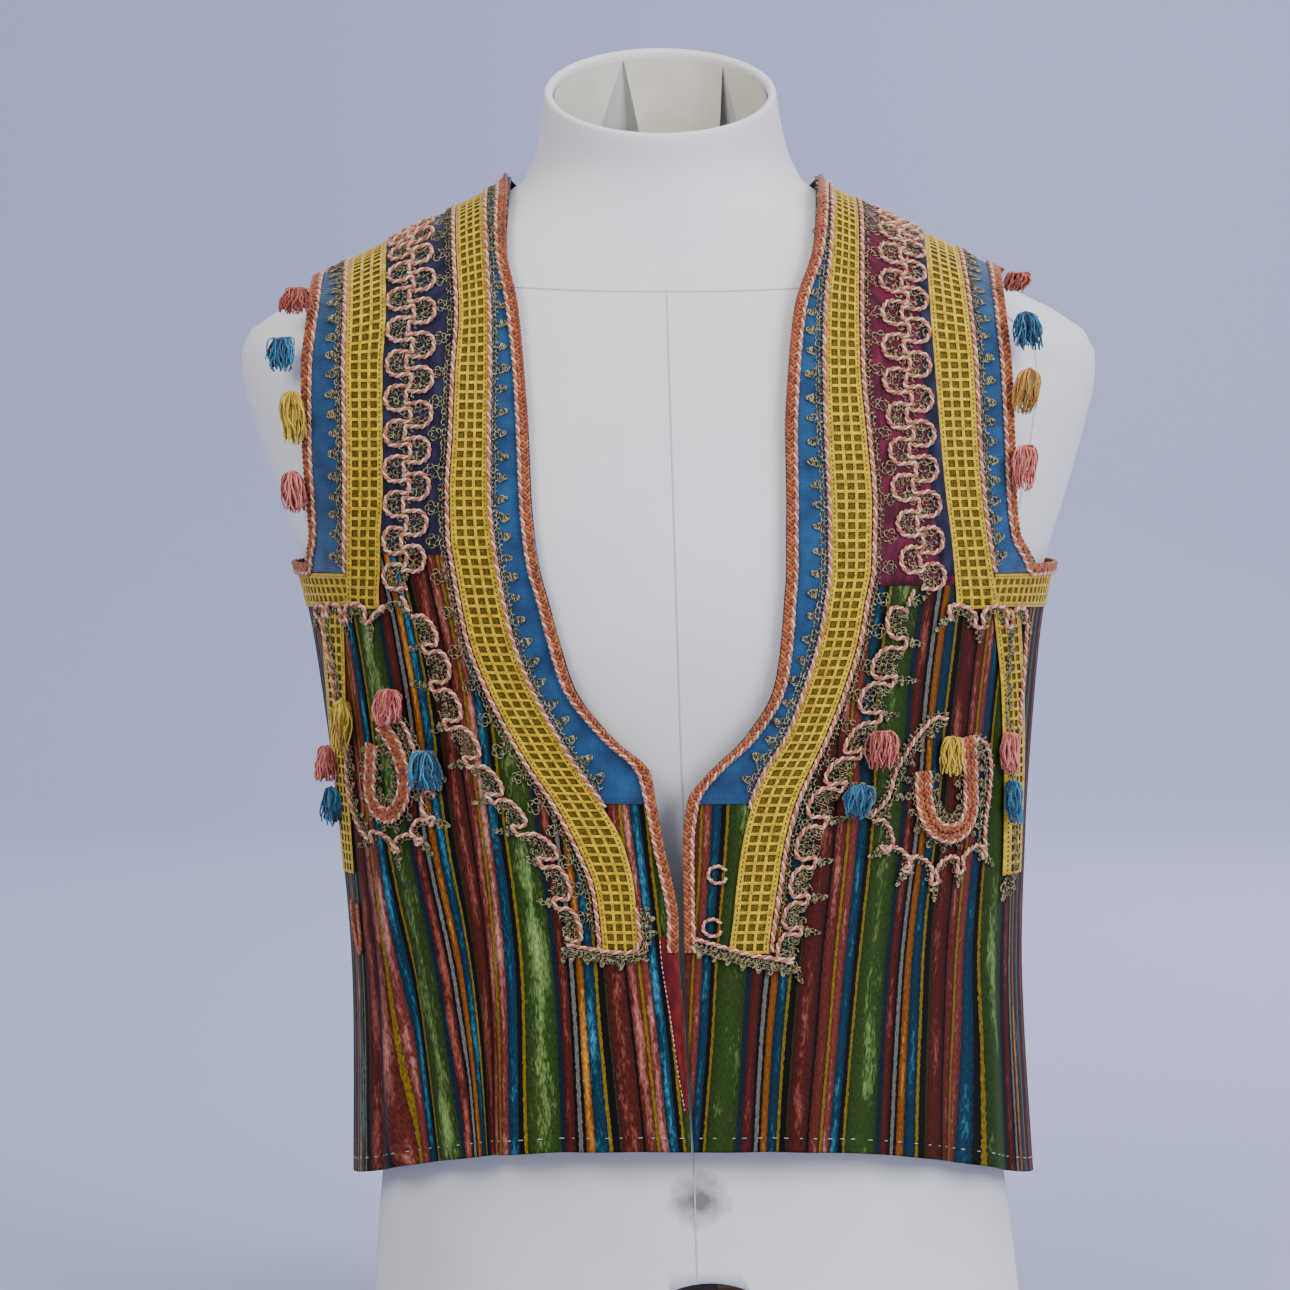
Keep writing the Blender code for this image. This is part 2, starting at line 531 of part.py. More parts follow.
def trim(name, grid, columns, rows, lift, thickness, cloth, keep=everywhere, inset=SEAM):
    """Cloth laid on a panel: the panel's own points between two columns and two rows, moved out."""
    points, normals = grid
    cut = points[columns[0]: columns[1] + 1, rows[0]: rows[1] + 1].copy()
    out = normals[columns[0]: columns[1] + 1, rows[0]: rows[1] + 1]
    cut = cut + out * (VELVET + lift)
    drawn = cut.copy()
    for end, inner in ((0, 1), (-1, -2)):
        along = cut[inner] - cut[end]
        size = np.linalg.norm(along, axis=-1, keepdims=True)
        drawn[end] += along / np.maximum(size, 1e-6) * inset
    cut = drawn.copy()
    for end, inner in ((0, 1), (-1, -2)):
        along = drawn[:, inner] - drawn[:, end]
        size = np.linalg.norm(along, axis=-1, keepdims=True)
        cut[:, end] += along / np.maximum(size, 1e-6) * inset
    return sheet(name, cut, out, keep, thickness, cloth)


def on_front(side, x, z, lift):
    phi = side * angle_of(VEST, x, z)
    n = outward(VEST, phi, z)
    return at_angle(VEST, phi, z) + n * (VELVET + lift), n


def strip(name, side, pairs, columns, lift, thickness, cloth):
    """Cloth on a front between two edges, given as x, height, x, height."""
    points = np.zeros((columns + 1, len(pairs), 3))
    normals = np.zeros((columns + 1, len(pairs), 3))
    for j, (x0, z0, x1, z1) in enumerate(pairs):
        for i in range(columns + 1):
            t = i / columns
            points[i, j], normals[i, j] = on_front(side, x0 + (x1 - x0) * t, z0 + (z1 - z0) * t, lift)
    return sheet(name, points, normals, everywhere, thickness, cloth)


def pocket(name, spec, side, cloth):
    """Horseshoe of braid: two arms and a bend."""
    middle, bend, reach, wide, inner_top, outer_top = spec
    half = wide / 2
    pairs = []

    def add(x, z, out_x, out_z):
        pairs.append((middle + x - out_x * half, z - out_z * half, middle + x + out_x * half, z + out_z * half))

    for k in range(3):
        add(-reach, inner_top + (bend - inner_top) * k / 3, -1.0, 0.0)
    for k in range(POCKET_STEPS + 1):
        turn = math.pi * k / POCKET_STEPS
        add(-reach * math.cos(turn), bend - reach * math.sin(turn), -math.cos(turn), -math.sin(turn))
    for k in range(1, 4):
        add(reach, bend + (outer_top - bend) * k / 3, 1.0, 0.0)
    strip(name, side, pairs, 1, LAY, CORD, cloth)


def cage(name, spec, outline, side, cloth):
    """Scalloped lace round the outside of a pocket's braid."""
    middle, bend, reach, wide = spec[:4]
    inner = reach + wide / 2 + 1.8
    pairs = []
    for x, z in outline:
        if z > 0:
            near = (math.copysign(inner, x), z)
        else:
            size = math.hypot(x, z)
            near = (x / size * inner, z / size * inner)
        pairs.append((middle + near[0], bend + near[1], middle + x, bend + z))
    strip(name, side, pairs, 1, LAY, RIBBON, cloth)


def tassel(name, spec, cloth):
    """Plain solid of a tassel's reach: a flattened drop."""
    side, x, z, wide, length, lift = spec
    if z < 380.0:
        point, n = on_front(side, x, z, 0.0)
    else:
        phi = side * angle_of(VEST, x, z)
        n = outward(VEST, phi, z)
        point = at_angle(VEST, phi, z) + n * VELVET
    deep = wide * TASSEL_DEPTH
    centre = point + n * (TASSEL_LIFT - 3.5 + lift + deep / 2)
    up = np.array([0.0, 0.0, 1.0])
    up = up - n * float(np.dot(up, n))
    up /= np.linalg.norm(up)
    across = np.cross(n, up)
    mesh = bpy.data.meshes.new(name)
    bm = bmesh.new()
    bmesh.ops.create_uvsphere(bm, u_segments=10, v_segments=6, radius=0.5)
    for v in bm.verts:
        a, b, c = v.co
        swell = 1.3 - 0.6 * (c + 0.5)
        v.co = (centre + across * (a * wide * swell) + n * (b * deep * swell) + up * (c * length)) * MM
    bm.to_mesh(mesh)
    bm.free()
    link(bpy.data.objects.new(name, mesh), cloth)


def loop(name, spec, cloth):
    """Small cord loop for a button, open towards the edge."""
    x, z, radius = spec
    curve = bpy.data.curves.new(name, "CURVE")
    curve.dimensions = "3D"
    curve.bevel_depth = LOOP_RADIUS * MM
    curve.bevel_resolution = 1
    curve.use_fill_caps = True
    line = curve.splines.new("POLY")
    steps = 9
    line.points.add(steps - 1)
    for k in range(steps):
        turn = math.radians(-20.0 + 250.0 * k / (steps - 1))
        point, n = on_front(1, x - 1.3 * radius * math.sin(turn), z + radius * math.cos(turn), LOOP_RADIUS + 0.8)
        line.points[k].co = (*(point * MM), 1.0)
    link(bpy.data.objects.new(name, curve), cloth)


def make_vest(cloths):
    velvet, ribbon, blue, lace, braid = (cloths[k] for k in ("velvet", "ribbon", "blue", "lace", "braid"))
    low = GAP
    high = GAP + RIBBON + GAP
    top = len(FRONT_ROWS) + SHOULDER_ROWS - 1

    def front_cells(i, j):
        return i < ARM_EDGE or j < ROW_ARMHOLE

    def arm_ribbon_cells(i, j):
        return i == 0 or j == 0

    for word, side, table in (("left", -1, LEFT), ("right", 1, RIGHT)):
        grid = front_grid(table, side)
        sheet("vest_front_" + word, *grid, front_cells, VELVET, velvet)
        trim("neck_ribbon_" + word, grid, (RIB_IN, RIB_OUT), (ROW_CORNER, top), low, RIBBON, ribbon)
        trim("arm_ribbon_" + word, grid, (ARM_IN, SIDE), (ROW_RIBBON_FOOT, top), low, RIBBON, ribbon,
             arm_ribbon_cells)
        trim("side_ribbon_" + word, grid, (ARM_OUT, RIM), (ROW_SIDE_RIBBON, ROW_RIBBON_FOOT), low, RIBBON, ribbon)
        trim("neck_band_" + word, grid, (BRAID, RIB_IN), (ROW_BAND, top - 4), low, RIBBON, blue)
        trim("arm_band_" + word, grid, (ARM_OUT, RIM), (ROW_ARMHOLE, top - 1), low, RIBBON, blue)
        trim("front_braid_" + word, grid, (EDGE, BRAID), (ROW_CORNER, top), low, CORD, braid)
        trim("arm_braid_" + word, grid, (RIM, ARM_EDGE), (ROW_ARMHOLE, top), low, CORD, braid)
        trim("chest_ground_" + word, grid, (RIB_OUT, ARM_IN), (ROW_ARMHOLE + 1, top), low, RIBBON,
             cloths["ground_" + word])
        trim("serpentine_" + word, grid, (SCALLOP, ARM_IN), (ROW_ARMHOLE + 1, top), high, RIBBON, lace)

    for word, side, run, under in (("left", -1, SCALLOPS_LEFT, UNDERARM_LEFT),
                                   ("right", 1, SCALLOPS_RIGHT, UNDERARM_RIGHT)):
        strip("scallops_" + word, side, run, 2, LAY, RIBBON, lace)
        strip("underarm_scallops_" + word, side, under, 1, high + 0.3, RIBBON, lace)
    for word, side, spec, outline in (("left", -1, POCKET_LEFT, CAGE_LEFT), ("right", 1, POCKET_RIGHT, CAGE_RIGHT)):
        pocket("pocket_" + word, spec, side, braid)
        cage("pocket_cage_" + word, spec, outline, side, lace)

    back = back_grid()
    last = back[0].shape[0] - 1

    def back_cells(i, j):
        return j < BACK_ARMHOLE or 2 <= i < last - 2

    sheet("vest_back", *back, back_cells, VELVET, velvet)
    rows = (BACK_ARMHOLE, back[0].shape[1] - 1)
    trim("arm_braid_back_left", back, (2, 3), rows, low, CORD, braid)
    trim("arm_braid_back_right", back, (last - 3, last - 2), rows, low, CORD, braid)
    points = np.zeros((2, NECK_STEPS + 1, 3))
    normals = np.zeros((2, NECK_STEPS + 1, 3))
    for j in range(NECK_STEPS + 1):
        phi = math.radians(92.0 + 176.0 * j / NECK_STEPS)
        part = math.sin(phi) ** 2
        for i, drop in enumerate((0.3, 3.5 - 0.9 * part)):
            z = BACK_NECK + NECK_RISE * part - drop
            normals[i, j] = outward(VEST, phi, z)
            points[i, j] = at_angle(VEST, phi, z) + normals[i, j] * (VELVET + GAP + 0.9)
    sheet("neck_braid_back", points, normals, everywhere, CORD, braid)

    for name, spec in TASSELS.items():
        tassel(name, spec, cloths[name.split("_")[3]])
    for name, spec in LOOPS.items():
        loop(name, spec, braid)


def main():
    clear()
    for name in (COLLECTION, "cutters"):
        made = bpy.data.collections.new(name)
        bpy.context.scene.collection.children.link(made)
    bpy.data.collections["cutters"].hide_render = True
    make_form(material("form_linen", (0.72, 0.72, 0.69), 0.85),
              material("board_wood", (0.18, 0.09, 0.04), 0.6),
              material("dark_wood", (0.07, 0.012, 0.003), 0.45),
              material("tan_wood", (0.18, 0.09, 0.028), 0.55))
    make_vest({
        "velvet": material("striped_velvet", (0.06, 0.09, 0.03), 0.8),
        "ribbon": material("yellow_ribbon", (0.65, 0.42, 0.05), 0.7),
        "blue": material("blue_cotton", (0.03, 0.13, 0.3), 0.85),
        "lace": material("metal_lace", (0.25, 0.22, 0.13), 0.5, 0.6),
        "braid": material("orange_braid", (0.5, 0.16, 0.06), 0.7),
        "ground_left": material("navy_velvet", (0.008, 0.008, 0.03), 0.8),
        "ground_right": material("burgundy_velvet", (0.14, 0.005, 0.03), 0.8),
        "rust": material("rust_silk", (0.35, 0.07, 0.04), 0.6),
        "pink": material("pink_silk", (0.56, 0.14, 0.1), 0.6),
        "yellow": material("yellow_silk", (0.57, 0.42, 0.03), 0.6),
        "ochre": material("ochre_silk", (0.46, 0.23, 0.03), 0.6),
    })


main()
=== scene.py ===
import math

import bmesh
import bpy
import numpy as np
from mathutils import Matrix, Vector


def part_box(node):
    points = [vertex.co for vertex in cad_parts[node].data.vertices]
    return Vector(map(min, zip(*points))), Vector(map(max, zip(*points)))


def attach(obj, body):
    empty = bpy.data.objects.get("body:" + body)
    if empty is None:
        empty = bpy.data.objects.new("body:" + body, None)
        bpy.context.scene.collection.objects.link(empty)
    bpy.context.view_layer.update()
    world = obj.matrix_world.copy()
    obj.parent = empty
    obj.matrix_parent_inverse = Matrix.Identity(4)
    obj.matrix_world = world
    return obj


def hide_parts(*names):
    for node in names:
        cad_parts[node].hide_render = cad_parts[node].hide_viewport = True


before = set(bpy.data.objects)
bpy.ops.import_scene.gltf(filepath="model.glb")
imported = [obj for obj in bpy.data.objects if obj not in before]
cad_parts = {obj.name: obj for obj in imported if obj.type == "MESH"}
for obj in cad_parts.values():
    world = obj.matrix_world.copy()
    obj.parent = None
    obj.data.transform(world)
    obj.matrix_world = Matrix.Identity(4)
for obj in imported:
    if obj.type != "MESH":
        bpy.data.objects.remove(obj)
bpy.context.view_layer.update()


# ---- Dress form ------------------------------------------------------------------------------------------
# A limbless torso of stiffened paper, covered in white linen that is sewn in panels and turned in at the
# neck. It is hollow, and it stands a little out of plumb on a flat foot.

MM = 0.001
LEAN = 0.031
LEAN_PIVOT = 463.0
FOOT = 12.0
MID_Y = 1.64
FORM_WALL = 4.0
# height, half width, front, back, middle y, squareness
FORM = np.array([
    (0.0, 151.5, 98.0, 94.0, 0.0, 2.1),
    (12.0, 151.5, 98.0, 94.0, 0.0, 2.1),
    (50.0, 149.0, 96.0, 92.0, 0.0, 2.1),
    (82.0, 145.5, 95.0, 90.0, 0.0, 2.1),
    (140.0, 138.0, 90.0, 84.0, 0.0, 2.1),
    (190.0, 138.0, 89.0, 82.0, 0.0, 2.1),
    (250.0, 146.0, 95.0, 87.0, 0.0, 2.15),
    (310.0, 157.0, 104.0, 93.0, 0.0, 2.2),
    (340.0, 163.5, 107.0, 97.0, 0.0, 2.25),
    (371.0, 173.0, 106.0, 100.0, 1.0, 2.3),
    (400.0, 183.0, 102.0, 102.0, 3.0, 2.3),
    (435.0, 194.0, 95.0, 101.0, 6.0, 2.3),
    (458.0, 199.5, 88.5, 97.5, 8.0, 2.3),
    (468.0, 199.5, 85.5, 95.5, 9.0, 2.3),
    (477.0, 195.0, 83.0, 93.5, 9.5, 2.3),
    (484.0, 186.0, 80.5, 92.0, 10.0, 2.3),
    (496.5, 161.5, 76.0, 87.0, 10.0, 2.3),
    (513.0, 128.0, 70.0, 81.0, 10.0, 2.3),
    (531.0, 91.0, 63.5, 73.0, 8.0, 2.25),
    (541.0, 71.5, 59.5, 66.5, 6.0, 2.15),
    (549.0, 63.5, 56.5, 61.0, 4.0, 2.1),
    (560.0, 58.5, 54.0, 56.5, 1.0, 2.0),
    (574.0, 55.5, 52.0, 53.0, -3.0, 2.0),
    (587.0, 54.0, 50.5, 50.5, -6.0, 2.0),
])
NECK_TILT = 0.43
NECK_FOOT = 549.0
FORM_AROUND = 160
FORM_ROWS = 126
ARCH_RADIUS = 44.0
ARCH_X = 5.0


def level(table, z):
    """Columns of a table at heights z, by a cubic that doesn't overshoot."""
    keys = table[:, 0]
    steps = np.diff(keys)
    rows = np.diff(table[:, 1:], axis=0) / steps[:, None]
    same = rows[:-1] * rows[1:] > 0
    total = np.where(same, rows[:-1] + rows[1:], 1.0)
    slope = np.vstack([rows[:1], np.where(same, 2.0 * rows[:-1] * rows[1:] / total, 0.0), rows[-1:]])
    z = np.clip(np.asarray(z, float), keys[0], keys[-1])
    i = np.clip(np.searchsorted(keys, z) - 1, 0, len(keys) - 2)
    h = steps[i][..., None]
    t = (z - keys[i])[..., None] / h
    a, b = table[i, 1:], table[i + 1, 1:]
    return ((1 + 2 * t) * (1 - t) ** 2 * a + t * (1 - t) ** 2 * h * slope[i]
            + t * t * (3 - 2 * t) * b + t * t * (t - 1) * h * slope[i + 1])


def axis_x(z):
    return -LEAN * (np.maximum(z, FOOT) - LEAN_PIVOT)


def around(table, phi, z):
    """Points of the sections: phi 0 is the front, a quarter turn the +X side."""
    phi, z = np.broadcast_arrays(np.asarray(phi, float), np.asarray(z, float))
    wide, front, back, mid, square = np.moveaxis(level(table, z), -1, 0)
    c, s = np.cos(phi), np.sin(phi)
    x = wide * np.sign(s) * np.abs(s) ** (2 / square)
    y = -np.sign(c) * np.abs(c) ** (2 / square) * np.where(c > 0, front, back)
    return np.stack([axis_x(z) + x, mid + y + MID_Y, z], -1)


def outward(table, phi, z):
    d = 0.004
    low = np.maximum(z - 0.8, table[0, 0])
    high = np.minimum(z + 0.8, table[-1, 0])
    n = np.cross(around(table, phi + d, z) - around(table, phi - d, z),
                 around(table, phi, high) - around(table, phi, low))
    return n / np.maximum(np.linalg.norm(n, axis=-1, keepdims=True), 1e-9)


def form_point(phi, z):
    """Linen surface, with the neck's cut top falling to the front."""
    p = around(FORM, phi, z)
    rise = np.clip((z - NECK_FOOT) / (FORM[-1, 0] - NECK_FOOT), 0.0, 1.0)
    p[..., 2] += NECK_TILT * (p[..., 1] - MID_Y + 6.0) * rise
    return p


def shade(hex_colour):
    """sRGB hex to linear."""
    parts = [int(hex_colour[i:i + 2], 16) / 255 for i in (1, 3, 5)]
    return (*[p / 12.92 if p <= 0.04045 else ((p + 0.055) / 1.055) ** 2.4 for p in parts], 1.0)


def add_node(tree, kind, links=None, **settings):
    """Adds a node; settings are properties or input values, links say what feeds an input."""
    made = tree.nodes.new(kind)
    for name, value in settings.items():
        if hasattr(made, name):
            setattr(made, name, value)
        else:
            made.inputs[name.replace("_", " ")].default_value = value
    for name, source in (links or {}).items():
        tree.links.new(source, made.inputs[name])
    return made


def finish(name, **settings):
    """A material and its Principled shader with plain settings."""
    made = bpy.data.materials.new(name)
    made.use_nodes = True
    shader = made.node_tree.nodes["Principled BSDF"]
    for key, value in settings.items():
        shader.inputs[key.replace("_", " ")].default_value = value
    return made, made.node_tree, shader


def tinted(tree, shader, amount, dark, light):
    """Base colour from dark to light as amount grows."""
    tone = add_node(tree, "ShaderNodeMixRGB", {"Fac": amount}, Color1=shade(dark), Color2=shade(light))
    tree.links.new(tone.outputs["Color"], shader.inputs["Base Color"])


def raised(tree, shader, height, strength, distance):
    """Fine relief; distance in metres."""
    made = add_node(tree, "ShaderNodeBump", {"Height": height}, Strength=strength, Distance=distance)
    tree.links.new(made.outputs["Normal"], shader.inputs["Normal"])


def speckled(tree, where, scale, detail):
    """Output of noise over the places in where."""
    made = add_node(tree, "ShaderNodeTexNoise", {"Vector": where}, Scale=scale, Detail=detail)
    return made.outputs["Fac"]


def ranged(tree, value, low, high, to_low=0.0, to_high=1.0):
    """Output that goes from to_low to to_high as value goes from low to high."""
    return add_node(tree, "ShaderNodeMapRange", {"Value": value}, From_Min=low, From_Max=high,
                    To_Min=to_low, To_Max=to_high).outputs["Result"]


def reckoned(tree, how, *values):
    """Output of a sum; each value is a number or another node's output."""
    made = add_node(tree, "ShaderNodeMath", operation=how)
    for k, value in enumerate(values):
        if isinstance(value, float):
            made.inputs[k].default_value = value
        else:
            tree.links.new(value, made.inputs[k])
    return made.outputs["Value"]


def place(name, mesh, *materials):
    obj = bpy.data.objects.new(name, mesh)
    bpy.context.scene.collection.objects.link(obj)
    for m in materials:
        mesh.materials.append(m)
    return obj


def grid_mesh(name, across, along, at, keep=None, flat=None, closed=False):
    """A grid of cells bent into cloth: at(i, j) gives places in mm, keep(i, j) the cells that are cloth,
    flat(i, j) the place on the cut, in metres."""
    bm = bmesh.new()
    bmesh.ops.create_grid(bm, x_segments=across, y_segments=along, size=1.0)
    co = np.array([v.co for v in bm.verts])
    i = np.round((co[:, 0] + 1) / 2 * across).astype(int)
    j = np.round((co[:, 1] + 1) / 2 * along).astype(int)
    points = at(i, j) * MM
    uv = bm.loops.layers.uv.new("cut")
    spots = flat(i, j) if flat else np.stack([i, j], -1) * MM
    for v, p in zip(bm.verts, points):
        v.co = p
    for f in bm.faces:
        f.smooth = True
        for loop in f.loops:
            loop[uv].uv = spots[loop.vert.index]
    if keep:
        unwanted = [f for f in bm.faces
                    if not keep(min(i[v.index] for v in f.verts), min(j[v.index] for v in f.verts))]
        bmesh.ops.delete(bm, geom=unwanted, context="FACES")
    if closed:
        bmesh.ops.remove_doubles(bm, verts=bm.verts[:], dist=1e-6)
    mesh = bpy.data.meshes.new(name)
    bm.to_mesh(mesh)
    bm.free()
    return mesh


def form_grid(i, j):
    """Outside from the foot up, over the turned edge, then the inside down to the foot."""
    phi = 2 * math.pi * (i % FORM_AROUND) / FORM_AROUND
    phi = np.arctan2(np.sin(phi), np.cos(phi))
    top = FORM[-1, 0]
    half = FORM_ROWS // 2
    roll = 8
    t = j / (half - roll // 2)
    u = (FORM_ROWS - j) / (half - roll // 2)
    z = np.where(j <= half - roll // 2, t * top, np.where(j >= half + roll // 2, u * top, top))
    z = np.clip(z, 0.0, top)
    outer = form_point(phi, z)
    n = outward(FORM, phi, z)
    n[z < 14.0, 2] = 0.0
    depth = np.where(j > half, FORM_WALL, 0.0)
    turn = np.clip((j - (half - roll // 2)) / roll, 0.0, 1.0) * math.pi
    rolling = (j > half - roll // 2) & (j < half + roll // 2)
    lift = np.where(rolling, FORM_WALL / 2 * np.sin(turn), 0.0)
    depth = np.where(rolling, FORM_WALL / 2 * (1 - np.cos(turn)), depth)
    return outer - n * depth[:, None] + np.array([0.0, 0.0, 1.0]) * lift[:, None]


def make_form():
    mesh = grid_mesh("form", FORM_AROUND, FORM_ROWS, form_grid, closed=True)
    bm = bmesh.new()
    bm.from_mesh(mesh)
    edges = [e for e in bm.edges if e.is_boundary]
    bmesh.ops.bridge_loops(bm, edges=edges)
    bmesh.ops.recalc_face_normals(bm, faces=bm.faces[:])
    for f in bm.faces:
        f.smooth = True
    bm.to_mesh(mesh)
    bm.free()
    obj = place("form", mesh)
    bm = bmesh.new()
    bmesh.ops.create_cone(bm, cap_ends=True, segments=64, depth=0.08,
                          radius1=ARCH_RADIUS * MM, radius2=ARCH_RADIUS * MM)
    for v in bm.verts:
        x, y, z = v.co
        v.co = (x + (axis_x(0.0) + ARCH_X) * MM, z + (MID_Y - 92.0) * MM, y)
    bmesh.ops.recalc_face_normals(bm, faces=bm.faces[:])
    cutter_mesh = bpy.data.meshes.new("arch_cutter")
    bm.to_mesh(cutter_mesh)
    bm.free()
    cutter = place("arch_cutter", cutter_mesh)
    cut = obj.modifiers.new("arch", "BOOLEAN")
    cut.operation = "DIFFERENCE"
    cut.solver = "EXACT"
    cut.object = cutter
    bpy.context.view_layer.update()
    shaped = bpy.data.meshes.new_from_object(obj.evaluated_get(bpy.context.evaluated_depsgraph_get()))
    obj.modifiers.clear()
    obj.data = shaped
    bpy.data.objects.remove(cutter)
    return obj


# Bleached linen, plain weave: matt, faintly mottled, with a grey mark below the hem in front.
linen, tree, shader = finish("bleached_linen", Roughness=0.88, Sheen_Weight=0.12)
spot = add_node(tree, "ShaderNodeTexCoord").outputs["Object"]
mottle = speckled(tree, spot, 9.0, 6.0)
tone = add_node(tree, "ShaderNodeValToRGB", {"Fac": mottle})
tone.color_ramp.elements[0].position = 0.3
tone.color_ramp.elements[0].color = shade("#d9d9d6")
tone.color_ramp.elements[1].position = 0.7
tone.color_ramp.elements[1].color = shade("#e6e6e4")
mark = add_node(tree, "ShaderNodeMapping", {"Vector": spot}, vector_type="TEXTURE",
                Location=(0.0135, -0.093, 0.082), Scale=(0.017, 0.03, 0.014))
rag = add_node(tree, "ShaderNodeTexNoise", {"Vector": spot}, Scale=170.0, Detail=5.0)
ragged = add_node(tree, "ShaderNodeMixRGB", {"Color1": mark.outputs["Vector"],
                                             "Color2": rag.outputs["Color"]}, blend_type="ADD", Fac=0.75)
centred = add_node(tree, "ShaderNodeVectorMath", {0: ragged.outputs["Color"]}, operation="SUBTRACT")
centred.inputs[1].default_value = (0.375, 0.375, 0.375)
reach = add_node(tree, "ShaderNodeTexGradient", {"Vector": centred.outputs["Vector"]},
                 gradient_type="SPHERICAL")
strength = reckoned(tree, "MULTIPLY", reach.outputs["Fac"], 1.3)
stained = add_node(tree, "ShaderNodeMixRGB", {"Fac": strength, "Color1": tone.outputs["Color"]},
                   Color2=shade("#77716c"))
tree.links.new(stained.outputs["Color"], shader.inputs["Base Color"])
weave = speckled(tree, spot, 900.0, 2.0)
raised(tree, shader, weave, 0.12, 0.0004)

form = make_form()
form.data.materials.append(linen)
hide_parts("dress_form")
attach(form, "root")


# ---- Seams of the form's cover ---------------------------------------------------------------------------
# The linen is sewn from a front in two halves, a neck and shoulder caps. Each seam shows as a fine ridge,
# pressed flat, painted greyer than the linen as the shade in its groove.

SEAM_RADIUS = 0.42
seam_linen_painted_shade, tree, shader = finish("seam_linen_painted_shade", Roughness=0.9)
where = add_node(tree, "ShaderNodeTexCoord").outputs["Object"]
stitches = speckled(tree, where, 500.0, 2.0)
# Painted shade: the seam is coloured greyer than the linen, as the shade of its groove.
tinted(tree, shader, stitches, "#a9a9a6", "#dededb")


def tubes(name, runs, radius, materials, sides=1, ends=True):
    """Threads of one thickness: runs are (points in mm, material number)."""
    curve = bpy.data.curves.new(name, "CURVE")
    curve.dimensions = "3D"
    curve.bevel_depth = radius * MM
    curve.bevel_resolution = sides
    curve.use_fill_caps = ends
    for m in materials:
        curve.materials.append(m)
    for run in runs:
        points = np.asarray(run[0]) * MM
        line = curve.splines.new("POLY")
        line.points.add(len(points) - 1)
        flat = np.ones((len(points), 4))
        flat[:, :3] = points
        line.points.foreach_set("co", flat.ravel())
        line.material_index = run[1]
        line.use_smooth = True
    obj = bpy.data.objects.new(name, curve)
    bpy.context.scene.collection.objects.link(obj)
    return obj


def trim(name, runs, radius, threads, node=None, sides=0, ends=True):
    """Threads sewn on as one piece; node is what it stands for."""
    piece = tubes(name, runs, radius, threads, sides, ends)
    if node:
        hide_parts(node)
    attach(piece, "root")


def resample(points, step):
    """The same path with even steps."""
    gaps = np.linalg.norm(np.diff(points, axis=0), axis=1)
    along = np.concatenate([[0.0], np.cumsum(gaps)])
    count = max(int(along[-1] / step), 2)
    want = np.linspace(0.0, along[-1], count + 1)
    return np.stack([np.interp(want, along, points[:, k]) for k in range(points.shape[1])], -1)


seams = []
z = np.linspace(45.0, 496.0, 90)
seams.append((form_point(np.zeros(90), z), 0))
seams.append((form_point(np.full(90, math.pi), np.linspace(2.0, 584.0, 90)), 0))
turn = np.linspace(-math.pi, math.pi, 121)
seams.append((form_point(turn, 519.0 - 24.0 * np.clip(np.cos(turn), 0, 1) ** 1.2
                         + 12.0 * np.clip(-np.cos(turn), 0, 1)), 0))
for side in (-1, 1):
    t = np.linspace(0.0, 1.0, 60)
    seams.append((form_point(side * (math.pi / 2 - 0.62 + 0.12 * t), 488.0 - 150.0 * t), 0))
    seams.append((form_point(side * (math.pi / 2 + 0.55 - 0.1 * t), 488.0 - 150.0 * t), 0))
    seams.append((form_point(np.full(60, side * math.pi / 2), 2.0 + 336.0 * t), 0))
    arc = np.linspace(-0.60, 0.54, 40)
    seams.append((form_point(side * (math.pi / 2 + arc), 338.0 - 6.0 * np.cos(arc * 2.6)), 0))
trim("form_seams", seams, SEAM_RADIUS, [seam_linen_painted_shade], sides=1)


# ---- Turned-in linen at the neck -------------------------------------------------------------------------
# The cover is turned in at the neck and cut in two wide notches at the back so that it lies flat. Deeper in,
# the bare brown paper of the shell shows; it is not drawn, and the form's inside is linen.

TURNING = 44.0
# Sides of the two notches, degrees from the middle of the back: at the neck's edge, and their spread below
NOTCH_LEFT = (-20.0, -9.0, -42.0)
NOTCH_RIGHT = (36.0, 34.0, 56.0)
BACK_CELLS = 30
FRONT_CELLS = 120


def turning_angle(i, t):
    back = NOTCH_LEFT[0] + (NOTCH_LEFT[1] - NOTCH_LEFT[0]) * t
    back = back + (NOTCH_RIGHT[0] + (NOTCH_RIGHT[1] - NOTCH_RIGHT[0]) * t - back) * i / BACK_CELLS
    first = NOTCH_RIGHT[0] + (NOTCH_RIGHT[2] - NOTCH_RIGHT[0]) * t
    last = 360.0 + NOTCH_LEFT[0] + (NOTCH_LEFT[2] - NOTCH_LEFT[0]) * t
    front = first + (last - first) * (i - BACK_CELLS - 1) / FRONT_CELLS
    return math.pi - np.radians(np.where(i <= BACK_CELLS, back, front))


def turning_grid(i, j):
    t = j / 24
    drop = TURNING * t
    phi = turning_angle(i, t)
    phi = np.arctan2(np.sin(phi), np.cos(phi))
    n = outward(FORM, phi, np.full(len(phi), 580.0))
    top = form_point(phi, np.full(len(phi), FORM[-1, 0]))
    inner = top - n * (FORM_WALL + 0.5 + 1.2 * t * np.sin(phi * 9) ** 2)[:, None]
    inner[:, 2] -= 1.5 + drop
    inner[:, 1] += 0.10 * drop
    return inner


def turning_cells(i, j):
    return i != BACK_CELLS


